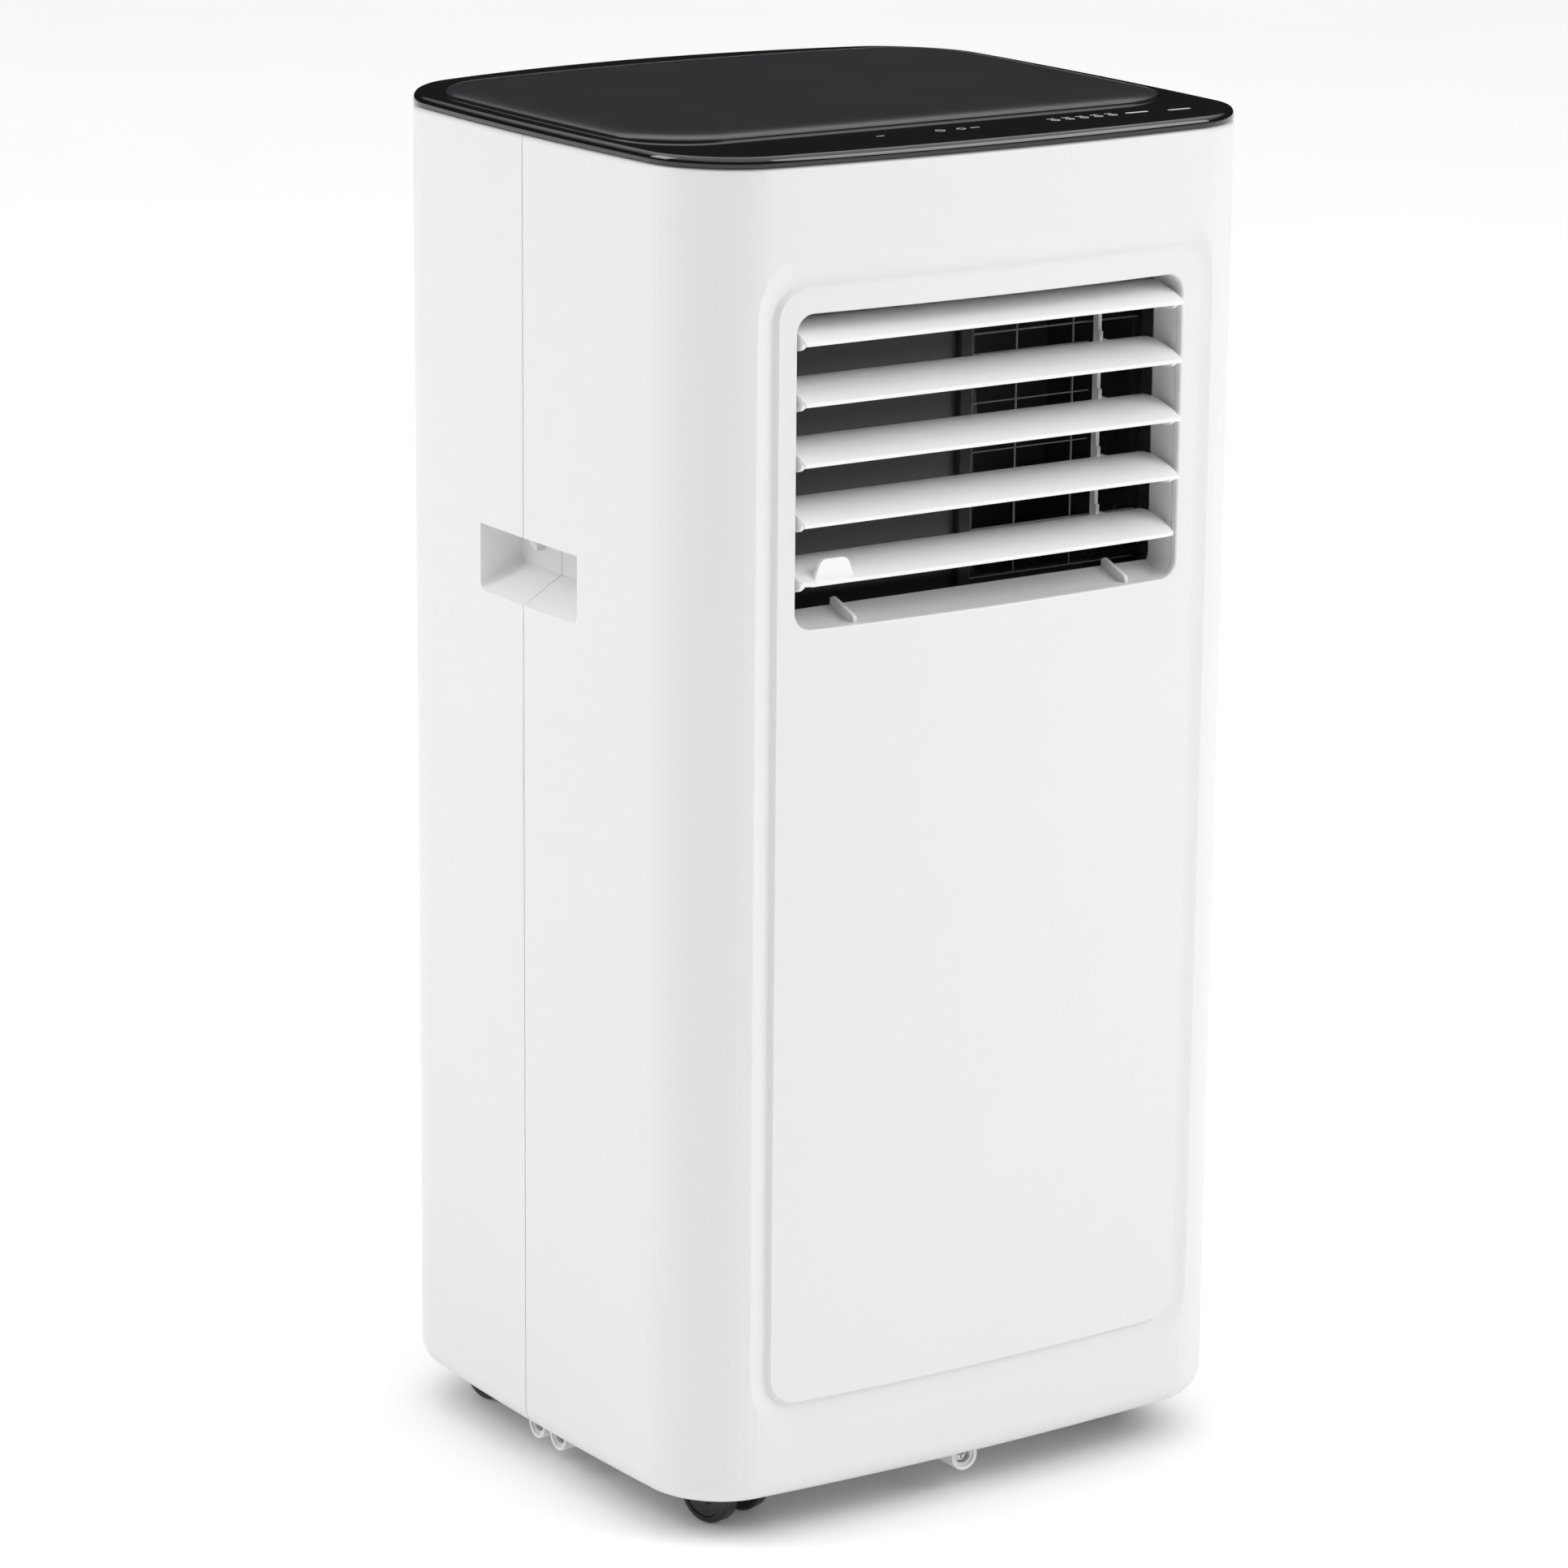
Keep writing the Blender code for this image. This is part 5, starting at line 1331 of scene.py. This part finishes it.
def build_floor():
    shape = bmesh.new()
    bmesh.ops.create_grid(shape, x_segments=1, y_segments=1, size=20)
    mesh = bpy.data.meshes.new("studio_floor")
    shape.to_mesh(mesh)
    shape.free()
    glow = {"Emission_Color": (1, 1, 1, 1), "Emission_Strength": 0.09}
    pale = Finish("studio_floor", (0.93, 0.93, 0.925), 0.6, **glow)
    pale.feed("Roughness", 0.55 + 0.1 * pale.noise(3, 2))
    mesh.materials.append(pale.material)
    floor = bpy.data.objects.new("studio_floor", mesh)
    bpy.context.scene.collection.objects.link(floor)


def build_air():
    """The studio's own light: dark near the horizon and bright overhead."""
    world = bpy.data.worlds.new("studio_air")
    world.use_nodes = True
    air = world.node_tree
    where = air.nodes.new("ShaderNodeTexCoord")
    split = air.nodes.new("ShaderNodeSeparateXYZ")
    ramp = air.nodes.new("ShaderNodeValToRGB")
    low, high = ramp.color_ramp.elements
    low.position, low.color = 0.36, (0.010, 0.010, 0.010, 1)
    high.position, high.color = 0.72, (1, 1, 1, 1)
    air.links.new(where.outputs["Generated"], split.inputs[0])
    air.links.new(split.outputs["Z"], ramp.inputs[0])
    air.links.new(ramp.outputs[0], air.nodes["Background"].inputs["Color"])
    air.nodes["Background"].inputs["Strength"].default_value = 1.32
    bpy.context.scene.world = world


def build_camera():
    stage = settings("stage")
    azimuth, elevation, roll = stage.azimuth, stage.elevation, stage.roll
    level = Vector((math.sin(azimuth), -math.cos(azimuth), 0)) * math.cos(elevation)
    back = level + Z * math.sin(elevation)
    right = Vector((math.cos(azimuth), math.sin(azimuth), 0))
    up = back.cross(right)
    turned_right = right * math.cos(roll) + up * math.sin(roll)
    turned_up = up * math.cos(roll) - right * math.sin(roll)
    data = bpy.data.cameras.new("camera")
    data.lens, data.sensor_width, data.clip_end = stage.lens, 36, 60
    camera = bpy.data.objects.new("camera", data)
    turn = Matrix((turned_right, turned_up, back)).transposed().to_4x4()
    target = Vector((-0.0186, -0.0098, 0.3345))
    camera.matrix_world = Matrix.Translation(target + back * stage.distance) @ turn
    bpy.context.scene.collection.objects.link(camera)
    bpy.context.scene.camera = camera


def build_stage():
    build_floor()
    build_air()
    middle = (0, 0, 0.4)
    softbox("left_softbox", (-3.3, 1.8, 2.9), middle, 2.2, 64)
    softbox("right_softbox", (2.5, -2.9, 2.7), middle, 2.6, 76)
    build_camera()
    bpy.context.scene.view_settings.view_transform = "Standard"


# ---------------------------------------------------------------- add-on


class AIRCON_OT_finishes(bpy.types.Operator):
    """Makes every material"""

    bl_idname = "aircon.finishes"
    bl_label = "Finishes"

    def execute(self, context):
        FINISHES.update(make_finishes())
        return {"FINISHED"}


class AIRCON_OT_shells(bpy.types.Operator):
    """Builds the front and rear shells with their lugs and grips"""

    bl_idname = "aircon.shells"
    bl_label = "Shells"

    def execute(self, context):
        build_shells()
        return {"FINISHED"}


class AIRCON_OT_top(bpy.types.Operator):
    """Builds the gloss cover, the raised lid and the control marks"""

    bl_idname = "aircon.top"
    bl_label = "Top"

    def execute(self, context):
        build_top()
        return {"FINISHED"}


class AIRCON_OT_throat(bpy.types.Operator):
    """Builds the throat with its sill fins"""

    bl_idname = "aircon.throat"
    bl_label = "Outlet throat"

    def execute(self, context):
        build_throat()
        return {"FINISHED"}


class AIRCON_OT_louvers(bpy.types.Operator):
    """Builds the five louvers and their tie bar"""

    bl_idname = "aircon.louvers"
    bl_label = "Louvers"

    def execute(self, context):
        build_louvers()
        return {"FINISHED"}


class AIRCON_OT_guard(bpy.types.Operator):
    """Builds the wire guard"""

    bl_idname = "aircon.guard"
    bl_label = "Guard"

    def execute(self, context):
        build_guard()
        return {"FINISHED"}


class AIRCON_OT_scroll(bpy.types.Operator):
    """Builds the trim on the blower housing"""

    bl_idname = "aircon.scroll"
    bl_label = "Blower trim"

    def execute(self, context):
        build_scroll()
        return {"FINISHED"}


class AIRCON_OT_casters(bpy.types.Operator):
    """Builds the hoods and the wheel pairs"""

    bl_idname = "aircon.casters"
    bl_label = "Casters"

    def execute(self, context):
        build_casters()
        return {"FINISHED"}


class AIRCON_OT_rear(bpy.types.Operator):
    """Builds the covers, filter, hose socket, plugs and gland"""

    bl_idname = "aircon.rear"
    bl_label = "Rear"

    def execute(self, context):
        build_rear()
        return {"FINISHED"}


class AIRCON_OT_screws(bpy.types.Operator):
    """Builds the lug screws"""

    bl_idname = "aircon.screws"
    bl_label = "Screws"

    def execute(self, context):
        build_screws()
        return {"FINISHED"}


class AIRCON_OT_inner(bpy.types.Operator):
    """Finishes the parts inside"""

    bl_idname = "aircon.inner"
    bl_label = "Inner parts"

    def execute(self, context):
        build_inner()
        return {"FINISHED"}


class AIRCON_OT_stage(bpy.types.Operator):
    """Builds the floor, the lights and the camera"""

    bl_idname = "aircon.stage"
    bl_label = "Stage"

    def execute(self, context):
        build_stage()
        return {"FINISHED"}


OPERATORS = [
    AIRCON_OT_finishes,
    AIRCON_OT_shells,
    AIRCON_OT_top,
    AIRCON_OT_throat,
    AIRCON_OT_louvers,
    AIRCON_OT_guard,
    AIRCON_OT_scroll,
    AIRCON_OT_casters,
    AIRCON_OT_rear,
    AIRCON_OT_screws,
    AIRCON_OT_inner,
    AIRCON_OT_stage,
]


class AIRCON_PT_panel(bpy.types.Panel):
    """Lists the settings and the operators"""

    bl_idname = "AIRCON_PT_panel"
    bl_label = "Portable Air Conditioner"
    bl_space_type = "VIEW_3D"
    bl_region_type = "UI"
    bl_category = "Air Conditioner"

    def draw(self, context):
        for group, kind in GROUPS.items():
            box = self.layout.box()
            box.label(text=group.capitalize())
            for name in kind.__annotations__:
                box.prop(settings(group), name)
        for kind in OPERATORS:
            self.layout.operator(kind.bl_idname)


CLASSES = [*GROUPS.values(), *OPERATORS, AIRCON_PT_panel]


def register():
    for kind in CLASSES:
        bpy.utils.register_class(kind)
    for name, kind in GROUPS.items():
        setattr(bpy.types.Scene, f"aircon_{name}", PointerProperty(type=kind))


def unregister():
    for name in GROUPS:
        delattr(bpy.types.Scene, f"aircon_{name}")
    for kind in reversed(CLASSES):
        bpy.utils.unregister_class(kind)


def main():
    register()
    for kind in OPERATORS:
        getattr(bpy.ops.aircon, kind.bl_idname.split(".")[1])()


if __name__ == "__main__":
    main()
